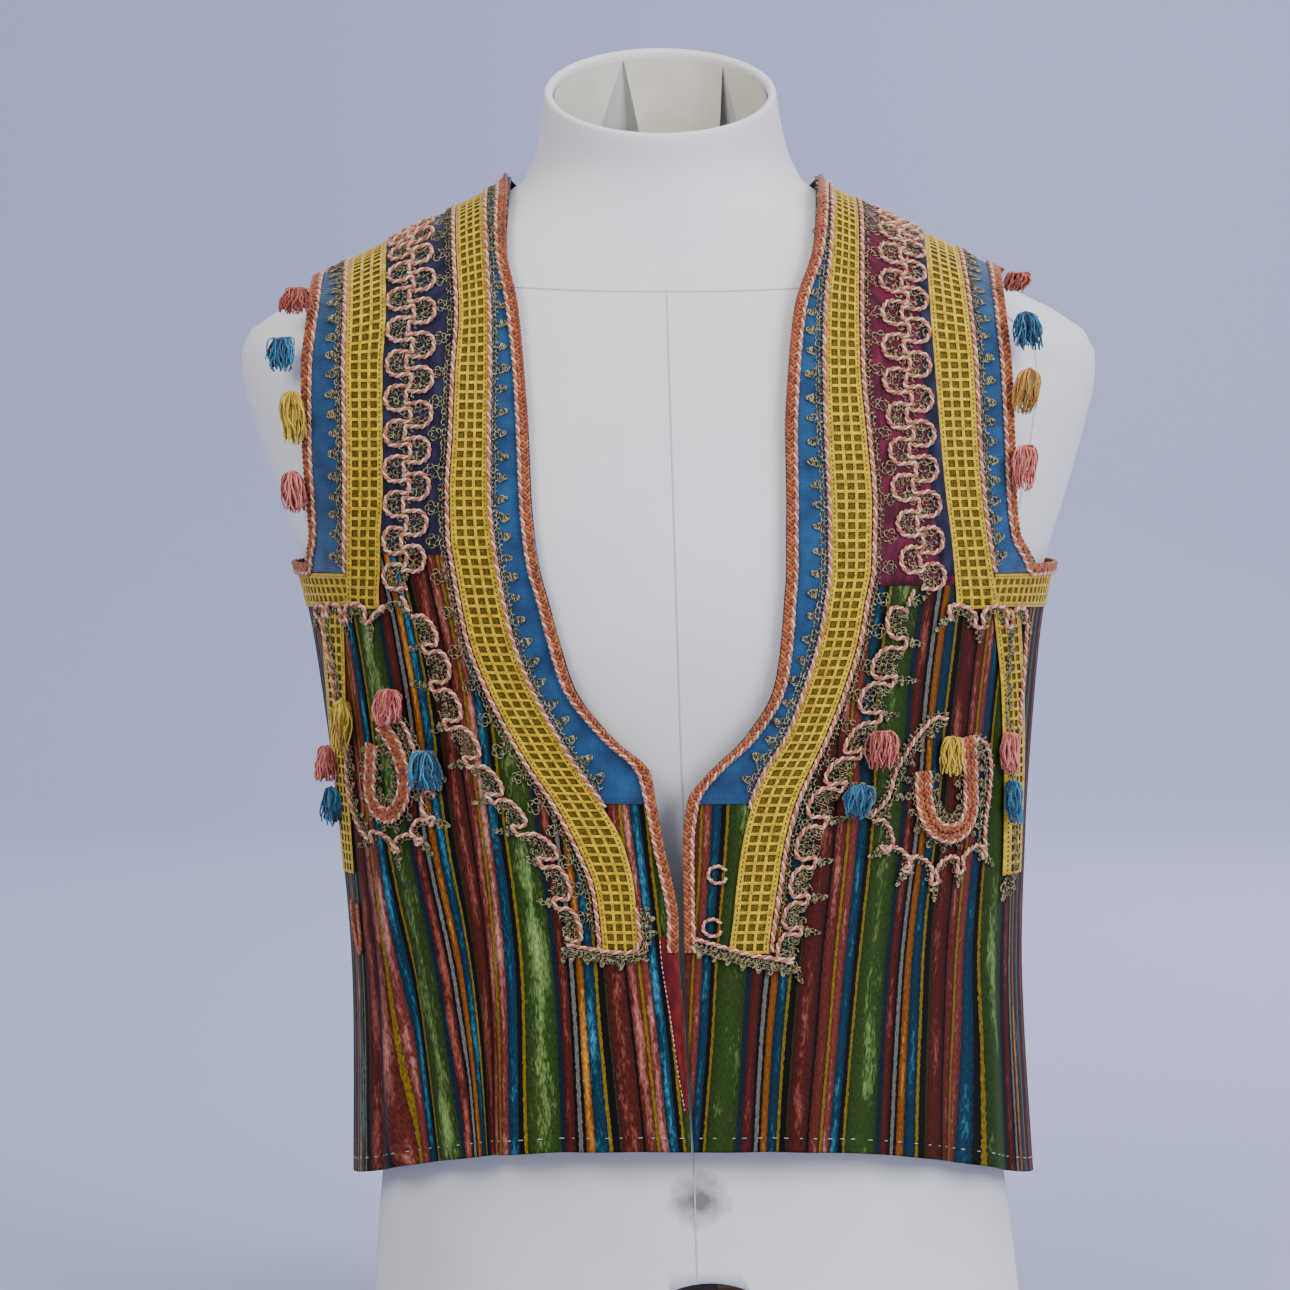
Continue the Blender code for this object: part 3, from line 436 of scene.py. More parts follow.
lining_linen, tree, shader = finish("lining_linen", Roughness=0.9)
where = add_node(tree, "ShaderNodeTexCoord").outputs["Object"]
cloud = speckled(tree, where, 45.0, 5.0)
tinted(tree, shader, cloud, "#c4bda4", "#ece8dc")
weave = speckled(tree, where, 1100.0, 2.0)
raised(tree, shader, weave, 0.25, 0.0004)
mesh = grid_mesh("neck_turning", BACK_CELLS + 1 + FRONT_CELLS, 24, turning_grid, turning_cells)
piece = place("neck_turning", mesh, lining_linen)
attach(piece, "root")


# ---- Vest: three panels of striped velvet ----------------------------------------------------------------
# Silk velvet woven in narrow stripes, cut as two fronts and a back, sewn at the shoulders and sides. The
# pile is worn and crushed, so that it shines in streaks, which are painted into its colour as highlights; the
# grooves between its ridges are painted in shade, and the left front hangs in soft folds.

VELVET = 1.6
SEAM = 0.2
VEST = np.array([
    (70.0, 158.5, 111.0, 101.0, 0.0, 2.05),
    (176.0, 155.5, 110.5, 101.0, 0.0, 2.05),
    (246.0, 159.0, 110.0, 102.0, 0.0, 2.1),
    (300.0, 164.0, 110.0, 103.0, 0.0, 2.15),
    (341.0, 169.0, 109.8, 103.5, 0.0, 2.25),
    (371.0, 175.5, 108.5, 103.5, 1.0, 2.3),
    (400.0, 185.5, 104.5, 104.5, 3.0, 2.3),
    (435.0, 196.5, 97.5, 103.5, 6.0, 2.3),
    (458.0, 202.0, 91.0, 100.0, 8.0, 2.3),
    (470.0, 202.0, 87.5, 97.5, 9.0, 2.3),
    (480.0, 197.0, 84.5, 95.5, 9.5, 2.3),
    (487.0, 188.0, 82.5, 94.0, 10.0, 2.3),
    (499.0, 164.0, 78.5, 89.5, 10.0, 2.3),
    (515.5, 130.5, 72.8, 84.0, 10.0, 2.3),
    (533.5, 94.3, 67.0, 77.5, 8.0, 2.25),
    (544.0, 74.3, 62.5, 71.0, 6.0, 2.15),
    (552.0, 67.5, 59.5, 66.0, 4.0, 2.1),
])
# height, edge, braid, ribbon in, ribbon out, scallop, arm ribbon in, arm ribbon out, arm band out, arm edge
STATIONS = {-1: np.array([
    (84.0, 1.0, 8.0, 22.0, 38.0, 62.0, 104.0, 134.0, 153.0, 156.0),
    (158.0, 2.0, 8.0, 22.0, 38.0, 62.0, 106.0, 138.0, 153.0, 155.0),
    (197.0, 3.8, 9.2, 21.8, 37.8, 62.0, 108.0, 142.0, 154.0, 156.0),
    (213.0, 3.4, 8.8, 22.3, 38.7, 62.5, 111.0, 147.0, 156.0, 157.0),
    (224.5, 5.0, 10.4, 22.8, 40.0, 63.0, 113.0, 150.0, 157.0, 158.0),
    (245.0, 9.0, 14.2, 27.0, 47.5, 68.0, 116.0, 150.5, 158.3, 158.8),
    (265.0, 12.0, 17.4, 37.5, 57.5, 78.0, 120.0, 151.0, 160.0, 160.5),
    (278.0, 14.0, 20.5, 46.5, 66.0, 86.0, 123.0, 151.0, 161.0, 161.6),
    (293.0, 30.0, 35.6, 55.5, 74.5, 94.0, 127.0, 150.5, 162.0, 163.0),
    (316.0, 47.0, 52.4, 67.0, 85.5, 103.0, 132.0, 150.0, 163.0, 165.0),
    (337.0, 53.2, 58.5, 74.5, 93.0, 107.5, 134.0, 149.5, 163.5, 167.0),
    (356.0, 57.8, 63.0, 78.5, 96.5, 108.5, 134.0, 149.0, 164.0, 168.5),
    (369.0, 61.0, 66.5, 80.5, 98.5, 109.5, 133.0, 148.5, 164.0, 168.5),
    (385.0, 63.0, 68.5, 82.5, 100.5, 110.0, 132.5, 148.0, 161.0, 166.0),
    (401.0, 64.0, 69.5, 83.5, 100.5, 108.5, 131.0, 147.5, 161.5, 167.0),
    (429.0, 64.5, 70.0, 83.0, 98.5, 107.0, 130.5, 147.0, 162.5, 168.0),
    (458.0, 66.0, 71.0, 82.0, 96.8, 105.0, 130.0, 147.0, 162.5, 167.5),
    (487.0, 68.0, 73.5, 81.5, 94.5, 104.0, 128.0, 146.0, 159.5, 164.0),
    (515.0, 72.5, 77.5, 82.0, 95.0, 104.0, 128.0, 146.0, 158.0, 162.5),
    (546.0, 70.5, 76.0, 82.0, 95.0, 104.0, 128.0, 146.0, 158.0, 162.5),
]), 1: np.array([
    (84.0, 0.0, 6.0, 20.0, 37.0, 62.0, 104.0, 134.0, 152.0, 155.5),
    (158.0, -0.8, 5.0, 20.0, 36.0, 62.0, 106.0, 138.0, 152.0, 154.5),
    (197.0, -1.3, 4.0, 19.0, 36.5, 60.0, 108.0, 142.0, 153.5, 155.5),
    (213.0, -1.1, 4.0, 21.2, 38.7, 60.0, 111.0, 147.0, 155.5, 156.5),
    (224.5, -0.9, 4.2, 22.6, 40.8, 60.5, 113.0, 149.0, 156.5, 157.5),
    (245.0, -0.5, 4.7, 26.0, 44.5, 62.0, 116.0, 150.0, 158.0, 158.6),
    (265.0, 2.0, 7.8, 31.5, 50.5, 69.0, 118.0, 150.5, 159.7, 160.3),
    (278.0, 12.0, 17.5, 37.5, 56.5, 75.0, 119.0, 150.5, 160.7, 161.4),
    (293.0, 28.0, 33.8, 47.5, 64.0, 81.0, 121.0, 150.0, 161.5, 162.7),
    (316.0, 42.5, 47.8, 57.0, 73.5, 90.0, 125.0, 149.0, 162.0, 164.5),
    (337.0, 46.5, 51.8, 64.0, 80.5, 94.0, 126.0, 147.0, 162.0, 166.0),
    (356.0, 48.5, 53.7, 68.0, 84.5, 96.0, 126.0, 145.0, 161.0, 167.0),
    (369.0, 49.8, 55.1, 70.0, 87.5, 96.0, 125.5, 143.0, 158.5, 165.5),
    (385.0, 50.3, 55.6, 70.5, 88.5, 96.0, 124.5, 141.0, 151.5, 157.0),
    (401.0, 51.0, 56.3, 70.8, 89.3, 95.0, 123.0, 139.5, 151.0, 155.5),
    (429.0, 51.5, 57.0, 70.5, 88.0, 94.0, 121.5, 138.5, 151.5, 155.5),
    (458.0, 54.0, 59.3, 71.0, 86.5, 94.5, 120.5, 138.5, 151.5, 155.5),
    (487.0, 58.0, 63.5, 72.5, 87.0, 95.5, 119.5, 137.0, 150.0, 154.0),
    (515.0, 67.5, 72.5, 76.0, 88.0, 96.0, 119.0, 135.0, 149.0, 153.5),
    (546.0, 71.0, 75.5, 77.5, 88.5, 96.0, 119.0, 135.0, 149.0, 153.5),
])}
EDGE, BRAID, RIB_IN, RIB_OUT, SCALLOP, ARM_IN, ARM_OUT, RIM, ARM_EDGE, SIDE_MID, SIDE = range(11)
CHEST = 458.0         # above this height the rows climb to the shoulder seam
UNDERARM = 369.0
RIBBON_FOOT = 356.0
HEM = 84.0
HEM_DIP = 22.0
SHOULDER_ROWS = 6.0
WORDS = {-1: "left", 1: "right"}
# Folds, mm: place round the cloth at the hem, lean per mm of height, top, half width, depth at the hem
FOLDS = {
    -1: (
        (98.0, 0.0, 300.0, 5.0, -4.8), (84.0, 0.02, 280.0, 9.0, 3.0), (111.0, 0.13, 300.0, 8.0, 3.2),
        (128.0, 0.12, 300.0, 7.5, -3.6), (148.0, 0.08, 300.0, 9.0, 3.6), (166.0, 0.0, 260.0, 6.0, -3.0),
        (62.0, 0.03, 240.0, 7.0, -2.6), (44.0, 0.02, 220.0, 8.0, 2.2), (24.0, 0.02, 190.0, 7.0, -1.8),
    ),
    1: (
        (16.0, 0.05, 190.0, 8.0, 1.4), (33.0, 0.1, 230.0, 7.0, -1.8), (52.0, 0.1, 230.0, 9.0, 2.4),
        (74.0, 0.1, 240.0, 7.0, -2.2), (92.0, 0.1, 250.0, 7.0, -3.4), (110.0, 0.1, 250.0, 8.0, 3.0),
        (129.0, 0.1, 250.0, 7.0, -3.6), (149.0, 0.04, 240.0, 8.0, 2.8), (167.0, 0.0, 230.0, 6.0, -2.4),
    ),
}
# How much the stripes lean below the chest, mm per mm, at distances round the cloth
LEANS = {
    -1: ((0.0, 0.09), (40.0, 0.06), (80.0, 0.03), (93.0, 0.03), (108.0, 0.16), (140.0, 0.15), (168.0, 0.0)),
    1: ((0.0, -0.11), (130.0, -0.11), (160.0, 0.0)),
}
LEAN_TOP = 275.0
BACK_FOLDS = (
    (0.0, 0.0, 330.0, 12.0, -2.5), (38.0, 0.03, 300.0, 9.0, 2.4), (-36.0, -0.02, 290.0, 10.0, 2.2),
    (70.0, 0.02, 250.0, 9.0, -2.2), (-72.0, -0.03, 270.0, 9.0, -2.4), (104.0, 0.02, 300.0, 9.0, 2.6),
    (-108.0, 0.0, 260.0, 10.0, 2.4),
)


def angle_of(x, z):
    wide, _, _, _, square = np.moveaxis(level(VEST, z), -1, 0)
    part = np.minimum(np.abs(x) / wide, 1.0)
    return np.sign(x) * np.arcsin(part ** (square / 2))


def shoulder_height(x):
    """Height at which the shoulder seam passes each distance from the middle."""
    x = np.abs(np.asarray(x, float))
    low = np.full(x.shape, 470.0)
    high = np.full(x.shape, VEST[-1, 0])
    for _ in range(30):
        z = (low + high) / 2
        inside = level(VEST, z)[..., 0] > x
        low = np.where(inside, z, low)
        high = np.where(inside, high, z)
    return low


TURNS = np.linspace(0.0, math.pi / 2, 200)
GIRTH_PATH = around(VEST, TURNS, np.full(200, 246.0))
GIRTH = np.concatenate([[0.0], np.cumsum(np.linalg.norm(np.diff(GIRTH_PATH, axis=0), axis=1))])


def round_cloth(phi):
    """Distance round the cloth from the middle of the front, mm, as it is cut."""
    return np.sign(phi) * np.interp(np.abs(phi), TURNS, GIRTH)


def fold_depth(folds, at, z):
    """How far the cloth stands out from its plain hang, at mm round it."""
    out = np.zeros(np.broadcast(at, z).shape)
    for where, lean, top, half, deep in folds:
        fade = np.clip((top - z) / (top - HEM), 0.0, 1.0)
        out += deep * fade ** 1.2 * np.exp(-((at - where - lean * (z - HEM)) / half) ** 2)
    return out


def on_vest(phi, z, lift=0.0):
    """Points on the outside of a front, moved out by lift, and the directions out."""
    phi, z = np.broadcast_arrays(np.asarray(phi, float), np.asarray(z, float))
    side = np.where(phi < 0, -1, 1)
    n = outward(VEST, phi, z)
    at = np.abs(round_cloth(phi))
    folds = np.where(side < 0, fold_depth(FOLDS[-1], at, z), fold_depth(FOLDS[1], at, z))
    p = around(VEST, phi, z) + n * (VELVET + lift + folds)[..., None]
    p[..., 1] -= SEAM
    return p, n


def between(table, c):
    """Values of a table at columns c, which may lie between two of them."""
    last = table.shape[-1] - 1
    c = np.clip(c, 0.0, float(last))
    i = np.minimum(np.floor(c).astype(int), last - 1)
    cell = table.shape[:-1] + (1,)
    near, far = (np.take_along_axis(table, np.broadcast_to(k[..., None], cell), -1)[..., 0] for k in (i, i + 1))
    return near + (far - near) * (c - i)


def column_x(side, c, z):
    """Distance of a front's column from the middle at a height."""
    return between(level(STATIONS[side], z), c)


def column_top(side, c):
    z = np.full(np.shape(c), 520.0)
    for _ in range(25):
        z = shoulder_height(column_x(side, c, z))
    return z


def front_place(side, c, r):
    """Angle and height of a place on a front: c is the column, r the height in mm up to the chest, then
    0 to 6 from there to the shoulder seam."""
    c, r = np.broadcast_arrays(np.asarray(c, float), np.asarray(r, float))
    tops = column_top(side, np.minimum(c, 8.0))
    climb = np.clip((r - CHEST) / SHOULDER_ROWS, 0.0, 1.0)
    z = np.where(r <= CHEST, r, CHEST + (tops - CHEST) * np.sin(math.pi / 2 * climb))
    phi = angle_of(column_x(side, c, z), z)
    phi = np.where(climb >= 1.0, math.pi / 2, phi)
    rim = angle_of(column_x(side, np.full(c.shape, float(RIM)), z), z)
    low = rim + (math.pi / 2 - rim) * (c - RIM) / (SIDE - RIM)
    high = phi + (math.pi / 2 - phi) * (c - ARM_EDGE) / (SIDE - ARM_EDGE)
    blend = np.clip((r - (RIBBON_FOOT - 16.0)) / 16.0, 0.0, 1.0)
    lower = np.where(c > RIM, low, phi)
    upper = np.where(c > ARM_EDGE, high, phi)
    phi = lower + (upper - lower) * blend
    s = np.abs(np.sin(phi)) ** 3
    rise = np.interp(r, [HEM, 158.0, 197.0], [1.0, 0.15, 0.0])
    z = z + HEM_DIP * (1 - s) * rise
    return side * phi, z


def spread(stops, steps):
    """Even steps between each pair of stops."""
    parts = [np.linspace(a, b, n, endpoint=False) for a, b, n in zip(stops[:-1], stops[1:], steps)]
    return np.concatenate(parts + [[stops[-1]]])


FRONT_COLUMNS = spread(list(range(11)), (4, 7, 9, 11, 11, 11, 10, 5, 7, 7))
FRONT_HEIGHTS = spread((HEM, 91.0, RIBBON_FOOT, UNDERARM, CHEST, CHEST + SHOULDER_ROWS), (4, 72, 6, 24, 24))
STRIPE_REPEAT = 66.0
STRIPE_START = {-1: -15.5, 1: 21.4}


def front_mesh(side):
    columns = len(FRONT_COLUMNS) - 1
    rows = len(FRONT_HEIGHTS) - 1

    def at(i, j):
        phi, z = front_place(side, FRONT_COLUMNS[i], FRONT_HEIGHTS[j])
        return on_vest(phi, z, -VELVET)[0]

    def flat(i, j):
        phi, z = front_place(side, FRONT_COLUMNS[i], FRONT_HEIGHTS[j])
        at = round_cloth(phi)
        fall = np.maximum(LEAN_TOP - z, 0.0)
        lean = np.interp(np.abs(at), *np.array(LEANS[side]).T) * fall ** 2 / (fall + 35.0)
        return np.stack([at - STRIPE_START[side] - lean, z], -1) * MM

    def keep(i, j):
        return FRONT_COLUMNS[i] < ARM_EDGE - 0.01 or FRONT_HEIGHTS[j] < UNDERARM - 0.01

    mesh = grid_mesh("velvet_front_" + WORDS[side], columns, rows, at, keep, flat)
    if side < 0:
        mesh.flip_normals()
    return mesh


def wall(obj, thickness):
    made = obj.modifiers.new("wall", "SOLIDIFY")
    made.thickness = thickness * MM
    made.offset = 1.0


# Stripes across one repeat, mm wide: colour of the flat pile, colour where it catches the light
STRIPES = (
    (13.8, "#2e4611", "#8dac5c"), (2.2, "#0d3146", "#3a86a4"), (4.7, "#521a10", "#ad5a48"),
    (1.3, "#07060b", "#1d1a24"), (1.8, "#9e9c90", "#e2e0d4"), (1.3, "#07060b", "#1d1a24"),
    (3.5, "#8a4c0e", "#dc9a38"), (4.7, "#0a3042", "#4290ac"), (1.3, "#b8980f", "#e8d248"),
    (2.8, "#06050a", "#1e1a24"), (1.0, "#43460f", "#7d8238"), (8.4, "#501a10", "#b4624e"),
    (1.0, "#07060b", "#1d1a24"), (5.2, "#64261a", "#c47a66"), (1.3, "#b8980f", "#e8d248"),
    (3.9, "#78342a", "#d4917f"), (4.4, "#0d3549", "#4696b0"), (2.1, "#07060b", "#1e1a24"),
    (1.3, "#b8980f", "#e8d248"),
)
# A crushed streak is painted with the lit colours as a highlight.
CRUSH = (0.009, 0.045)  # width and length of a crushed streak in the pile, m
WIDE = 3.4              # a stripe this wide stands up as a rounded ridge, mm


def striped_velvet(name, highlight_share, bright):
    """Warp-striped silk velvet with highlights painted where the pile is crushed and shade painted between the
    ridges of its stripes; the number after the name is how much of the pile is painted lit, bright how light
    the pile is painted at most.
    """
    made, tree, shader = finish(name, Roughness=0.55, Sheen_Weight=0.06, Sheen_Roughness=0.3,
                                Sheen_Tint=shade("#d8c8b0"), Specular_IOR_Level=0.12)
    cut = add_node(tree, "ShaderNodeUVMap", uv_map="cut").outputs["UV"]

    def noise(x_size, y_size, detail, **more):
        """Noise stretched over the cut; sizes in mm."""
        laid = add_node(tree, "ShaderNodeMapping", {"Vector": cut},
                        Scale=(1000.0 / x_size, 1000.0 / y_size, 1.0))
        return add_node(tree, "ShaderNodeTexNoise", {"Vector": laid.outputs["Vector"]}, Scale=1.0,
                        Detail=detail, **more)

    def lift(source, gain, add=0.0):
        return reckoned(tree, "MULTIPLY_ADD", source, gain, add)

    def join(first, second, how="ADD"):
        return reckoned(tree, how, first, second)

    split = add_node(tree, "ShaderNodeSeparateXYZ", {"Vector": cut})
    wander = lift(noise(55.0, 140.0, 1.0).outputs["Fac"], 0.007, -0.0035)
    fray = lift(noise(0.7, 2.2, 2.0).outputs["Fac"], 0.0012, -0.0006)
    across = join(split.outputs["X"], join(wander, fray))
    part = reckoned(tree, "FRACT", lift(across, 1 / (STRIPE_REPEAT * MM)))
    total = sum(s[0] for s in STRIPES)
    ramps = []
    for which in (1, 2):
        ramp = add_node(tree, "ShaderNodeValToRGB", {"Fac": part})
        ramp.color_ramp.interpolation = "CONSTANT"
        start = 0.0
        for k, stripe in enumerate(STRIPES):
            stop = ramp.color_ramp.elements[k] if k < 2 else ramp.color_ramp.elements.new(start)
            stop.position = start
            stop.color = shade(stripe[which])
            start += stripe[0] / total
        ramps.append(ramp)
    ridge = add_node(tree, "ShaderNodeValToRGB", {"Fac": part})
    stops = []
    start = 0.0
    for stripe in STRIPES:
        wide = stripe[0] / total
        if stripe[0] > WIDE:
            stops += [(start, 0.0), (start + wide / 2, 1.0), (start + wide, 0.0)]
        start += wide
    keep = []
    for stop in stops:
        if not keep or stop[0] - keep[-1][0] > 1e-5:
            keep.append(stop)
    for k, (position, value) in enumerate(keep):
        position = min(position, 1.0)
        stop = ridge.color_ramp.elements[k] if k < 2 else ridge.color_ramp.elements.new(position)
        stop.position = position
        stop.color = (value, value, value, 1.0)
    round_ridge = reckoned(tree, "POWER", ridge.outputs["Color"], 0.5)
    # Painted highlight: where crushed streaks, fine mottle and the middles of the ridges add up, the colour
    # turns to the lit colour of its stripe.
    crush = noise(CRUSH[0] / MM, CRUSH[1] / MM, 7.0, Roughness=0.62, Distortion=0.35).outputs["Fac"]
    mottle = noise(1.0, 4.0, 4.0).outputs["Fac"]
    highlight_amount = join(join(crush, lift(mottle, 0.44, -0.22)), lift(round_ridge, 0.18, -0.12))
    shine = ranged(tree, highlight_amount, 0.57 - highlight_share, 0.79 - highlight_share)
    tint = add_node(tree, "ShaderNodeMixRGB",
                    {"Fac": shine, "Color1": ramps[0].outputs["Color"], "Color2": ramps[1].outputs["Color"]})
    # Painted shade: besides fine flecks of the pile, each wide stripe is darker towards its sides, and the
    # narrow stripes between the ridges are darker all over.
    grain = noise(0.5, 2.4, 3.0).outputs["Fac"]
    dim = ranged(tree, grain, 0.3, 0.7, 0.36, bright)
    sides = lift(round_ridge, 0.60, 0.42)
    depth = join(dim, sides, "MULTIPLY")
    pile_with_painted_shade = add_node(tree, "ShaderNodeMixRGB", {"Color1": tint.outputs["Color"], "Color2": depth},
                     blend_type="MULTIPLY", Fac=1.0)
    tree.links.new(pile_with_painted_shade.outputs["Color"], shader.inputs["Base Color"])
    height = join(lift(round_ridge, 1.0), join(lift(grain, 0.25), lift(crush, 0.5)))
    raised(tree, shader, height, 0.7, 0.0011)
    return made


# The left front is painted with more highlight than the right, and painted lighter.
highlit_velvet = striped_velvet("highlit_striped_silk_velvet", 0.065, 1.34)
velvet = striped_velvet("striped_silk_velvet", -0.015, 1.08)
for side in (-1, 1):
    piece = place("velvet_front_" + WORDS[side], front_mesh(side), highlit_velvet if side < 0 else velvet)
    wall(piece, VELVET)
    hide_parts("vest_front_" + WORDS[side])
    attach(piece, "root")

# Back: height, neck, yoke, blade, arm braid in, arm edge
BACK = np.array([
    (84.0, 52.0, 92.0, 124.0, 146.0, 153.0),
    (213.0, 52.0, 92.0, 124.0, 146.0, 153.0),
    (316.0, 54.0, 95.0, 128.0, 152.0, 158.0),
    (356.0, 56.0, 98.0, 132.0, 157.0, 163.0),
    (369.0, 57.0, 99.0, 133.0, 158.0, 164.0),
    (385.0, 58.0, 99.0, 132.0, 153.0, 158.0),
    (401.0, 60.0, 99.0, 130.0, 150.0, 155.0),
    (429.0, 63.0, 99.0, 128.0, 148.5, 153.5),
    (458.0, 66.0, 99.0, 128.0, 149.0, 154.0),
    (487.0, 69.0, 99.0, 129.0, 152.0, 157.0),
    (546.0, 71.0, 99.0, 130.0, 154.0, 159.0),
])
BACK_NECK = 531.0
NECK_RISE = 13.0
BACK_COLUMNS = spread((0.0, 1.0, 2.0, 3.0, 4.0, 5.0, 7.0), (16, 12, 10, 8, 4, 14))
BACK_COLUMNS = np.concatenate([-BACK_COLUMNS[:0:-1], BACK_COLUMNS])
BACK_HEIGHTS = spread((HEM, 91.0, UNDERARM, CHEST, CHEST + SHOULDER_ROWS), (4, 50, 18, 24))


def back_x(c, z):
    return between(np.concatenate([np.zeros(np.shape(z) + (1,)), level(BACK, z)], -1), c)


def back_place(c, r):
    """Angle and height on the back: columns -7 to 7 from side to side."""
    c, r = np.broadcast_arrays(np.asarray(c, float), np.asarray(r, float))
    side = np.where(c < 0, -1, 1)
    a = np.abs(c)
    tops = np.full(c.shape, 520.0)
    for _ in range(25):
        tops = shoulder_height(back_x(a, tops))
    tops = np.where(a < 1.0, BACK_NECK + NECK_RISE * a ** 2, tops)
    climb = np.clip((r - CHEST) / SHOULDER_ROWS, 0.0, 1.0)
    z = np.where(r <= CHEST, r, CHEST + (tops - CHEST) * np.sin(math.pi / 2 * climb))
    phi = math.pi - angle_of(back_x(a, z), z)
    phi = np.where((climb >= 1.0) & (a >= 1.0), math.pi / 2, phi)
    phi = np.where(a > 5.0, phi + (math.pi / 2 - phi) * (a - 5.0) / 2.0, phi)
    return side * phi, z


def back_round(phi):
    """Distance round the back from its middle."""
    return np.sign(phi) * (np.interp(math.pi - np.abs(phi), TURNS, GIRTH))


def on_back(phi, z, lift=0.0):
    n = outward(VEST, phi, z)
    folds = fold_depth(BACK_FOLDS, back_round(phi), z)
    p = around(VEST, phi, z) + n * (VELVET + lift + folds)[..., None]
    p[..., 1] += SEAM
    return p, n


def back_at(i, j):
    phi, z = back_place(BACK_COLUMNS[i], BACK_HEIGHTS[j])
    return on_back(phi, z, -VELVET)[0]


def back_flat(i, j):
    phi, z = back_place(BACK_COLUMNS[i], BACK_HEIGHTS[j])
    return np.stack([-back_round(phi) - 7.0, z], -1) * MM


def back_keep(i, j):
    inner = abs((BACK_COLUMNS[i] + BACK_COLUMNS[i + 1]) / 2) < 5.0
    return inner or BACK_HEIGHTS[j] < UNDERARM - 0.01


mesh = grid_mesh("velvet_back", len(BACK_COLUMNS) - 1, len(BACK_HEIGHTS) - 1, back_at, back_keep, back_flat)
back = place("velvet_back", mesh, velvet)
wall(back, VELVET)
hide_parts("vest_back")
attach(back, "root")


# ---- Blue bands and the velvet grounds of the chest ------------------------------------------------------
# Strips of blue cotton along the neck and the armholes, and strips of plain velvet under the serpentines,
# turned under at their edges and sewn flat to the fronts.

APPLIED = 0.5         # thickness of a strip sewn on
BED = 0.25            # its lift off the velvet
BAND_SCALE = 0.31     # a band texture's scale times the spacing of its bands
SHOULDER = CHEST + SHOULDER_ROWS


def strip_mesh(name, side, columns, heights, lift):
    def at(i, j):
        phi, z = front_place(side, columns[i], heights[j])
        return on_vest(phi, z, lift)[0]

    def flat(i, j):
        phi, z = front_place(side, columns[i], heights[j])
        return np.stack([round_cloth(phi), z], -1) * MM

    mesh = grid_mesh(name, len(columns) - 1, len(heights) - 1, at, None, flat)
    if side < 0:
        mesh.flip_normals()
    return mesh


def plain_weave(name, light, dark, thread):
    """Plain-woven cotton: fine crossing threads with slubs, faded in patches."""
    made, tree, shader = finish(name, Roughness=0.85, Sheen_Weight=0.25, Sheen_Roughness=0.5,
                                Specular_IOR_Level=0.2)
    cut = add_node(tree, "ShaderNodeUVMap", uv_map="cut").outputs["UV"]
    heights = []
    for direction in ("X", "Y"):
        bands = add_node(tree, "ShaderNodeTexWave", {"Vector": cut}, wave_type="BANDS",
                         bands_direction=direction, Scale=BAND_SCALE / thread / MM, Distortion=1.2,
                         Detail=2.0, Detail_Scale=2.0)
        heights.append(bands.outputs["Fac"])
    weave = reckoned(tree, "ADD", *heights)
    patches = speckled(tree, cut, 90.0, 5.0)
    worn = ranged(tree, patches, 0.35, 0.7, 0.0, 0.75)
    tone = add_node(tree, "ShaderNodeMixRGB", {"Fac": worn}, Color1=shade(dark), Color2=shade(light))
    dim = ranged(tree, weave, 0.2, 1.8, 0.72, 1.12)
    cloth = add_node(tree, "ShaderNodeMixRGB", {"Color1": tone.outputs["Color"], "Color2": dim},
                     blend_type="MULTIPLY", Fac=1.0)
    tree.links.new(cloth.outputs["Color"], shader.inputs["Base Color"])
    raised(tree, shader, weave, 0.5, 0.0003)
    return made


def plain_velvet(name, light, dark):
    """Plain silk velvet with a crushed pile."""
    made, tree, shader = finish(name, Roughness=0.7, Sheen_Weight=0.35, Sheen_Roughness=0.35,
                                Specular_IOR_Level=0.2)
    cut = add_node(tree, "ShaderNodeUVMap", uv_map="cut").outputs["UV"]
    lie = add_node(tree, "ShaderNodeMapping", {"Vector": cut}, Scale=(260.0, 90.0, 1.0))
    streaks = speckled(tree, lie.outputs["Vector"], 1.0, 6.0)
    shine = ranged(tree, streaks, 0.4, 0.75)
    tinted(tree, shader, shine, dark, light)
    raised(tree, shader, streaks, 0.5, 0.0006)
    return made


blue_cotton = plain_weave("blue_plain_weave_cotton", "#285f8c", "#153a60", 0.75)
navy_velvet = plain_velvet("navy_silk_velvet", "#2a2a48", "#0e0e22")
burgundy_velvet = plain_velvet("burgundy_silk_velvet", "#74183a", "#3c081b")
for side, word in WORDS.items():
    bands = (
        ("neck", (BRAID - 0.3, RIB_IN + 0.02), spread((264.0, CHEST, SHOULDER), (52, 20)), (0.023, 0.31)),
        ("arm", (ARM_OUT - 0.02, RIM + 0.3), spread((366.5, CHEST, SHOULDER), (30, 20)), (0.024, 0.19)),
    )
    for name, between_columns, heights, cut_size in bands:
        columns = spread(between_columns, (9,))
        mesh = strip_mesh("cotton_band_" + name, side, columns, heights, BED)
        piece = place(f"cotton_band_{name}_{word}", mesh, blue_cotton)
        wall(piece, APPLIED)
        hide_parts(f"{name}_band_{word}")
        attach(piece, "root")
    low = 376.0 if side < 0 else 362.0
    columns = spread((RIB_OUT - 0.1, SCALLOP, ARM_IN + 0.1), (4, 12))
    mesh = strip_mesh("velvet_ground_" + word, side, columns, spread((low, CHEST, SHOULDER), (26, 20)), BED)
    piece = place("velvet_ground_" + word, mesh, navy_velvet if side < 0 else burgundy_velvet)
    wall(piece, APPLIED)
    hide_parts("chest_ground_" + word)
    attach(piece, "root")
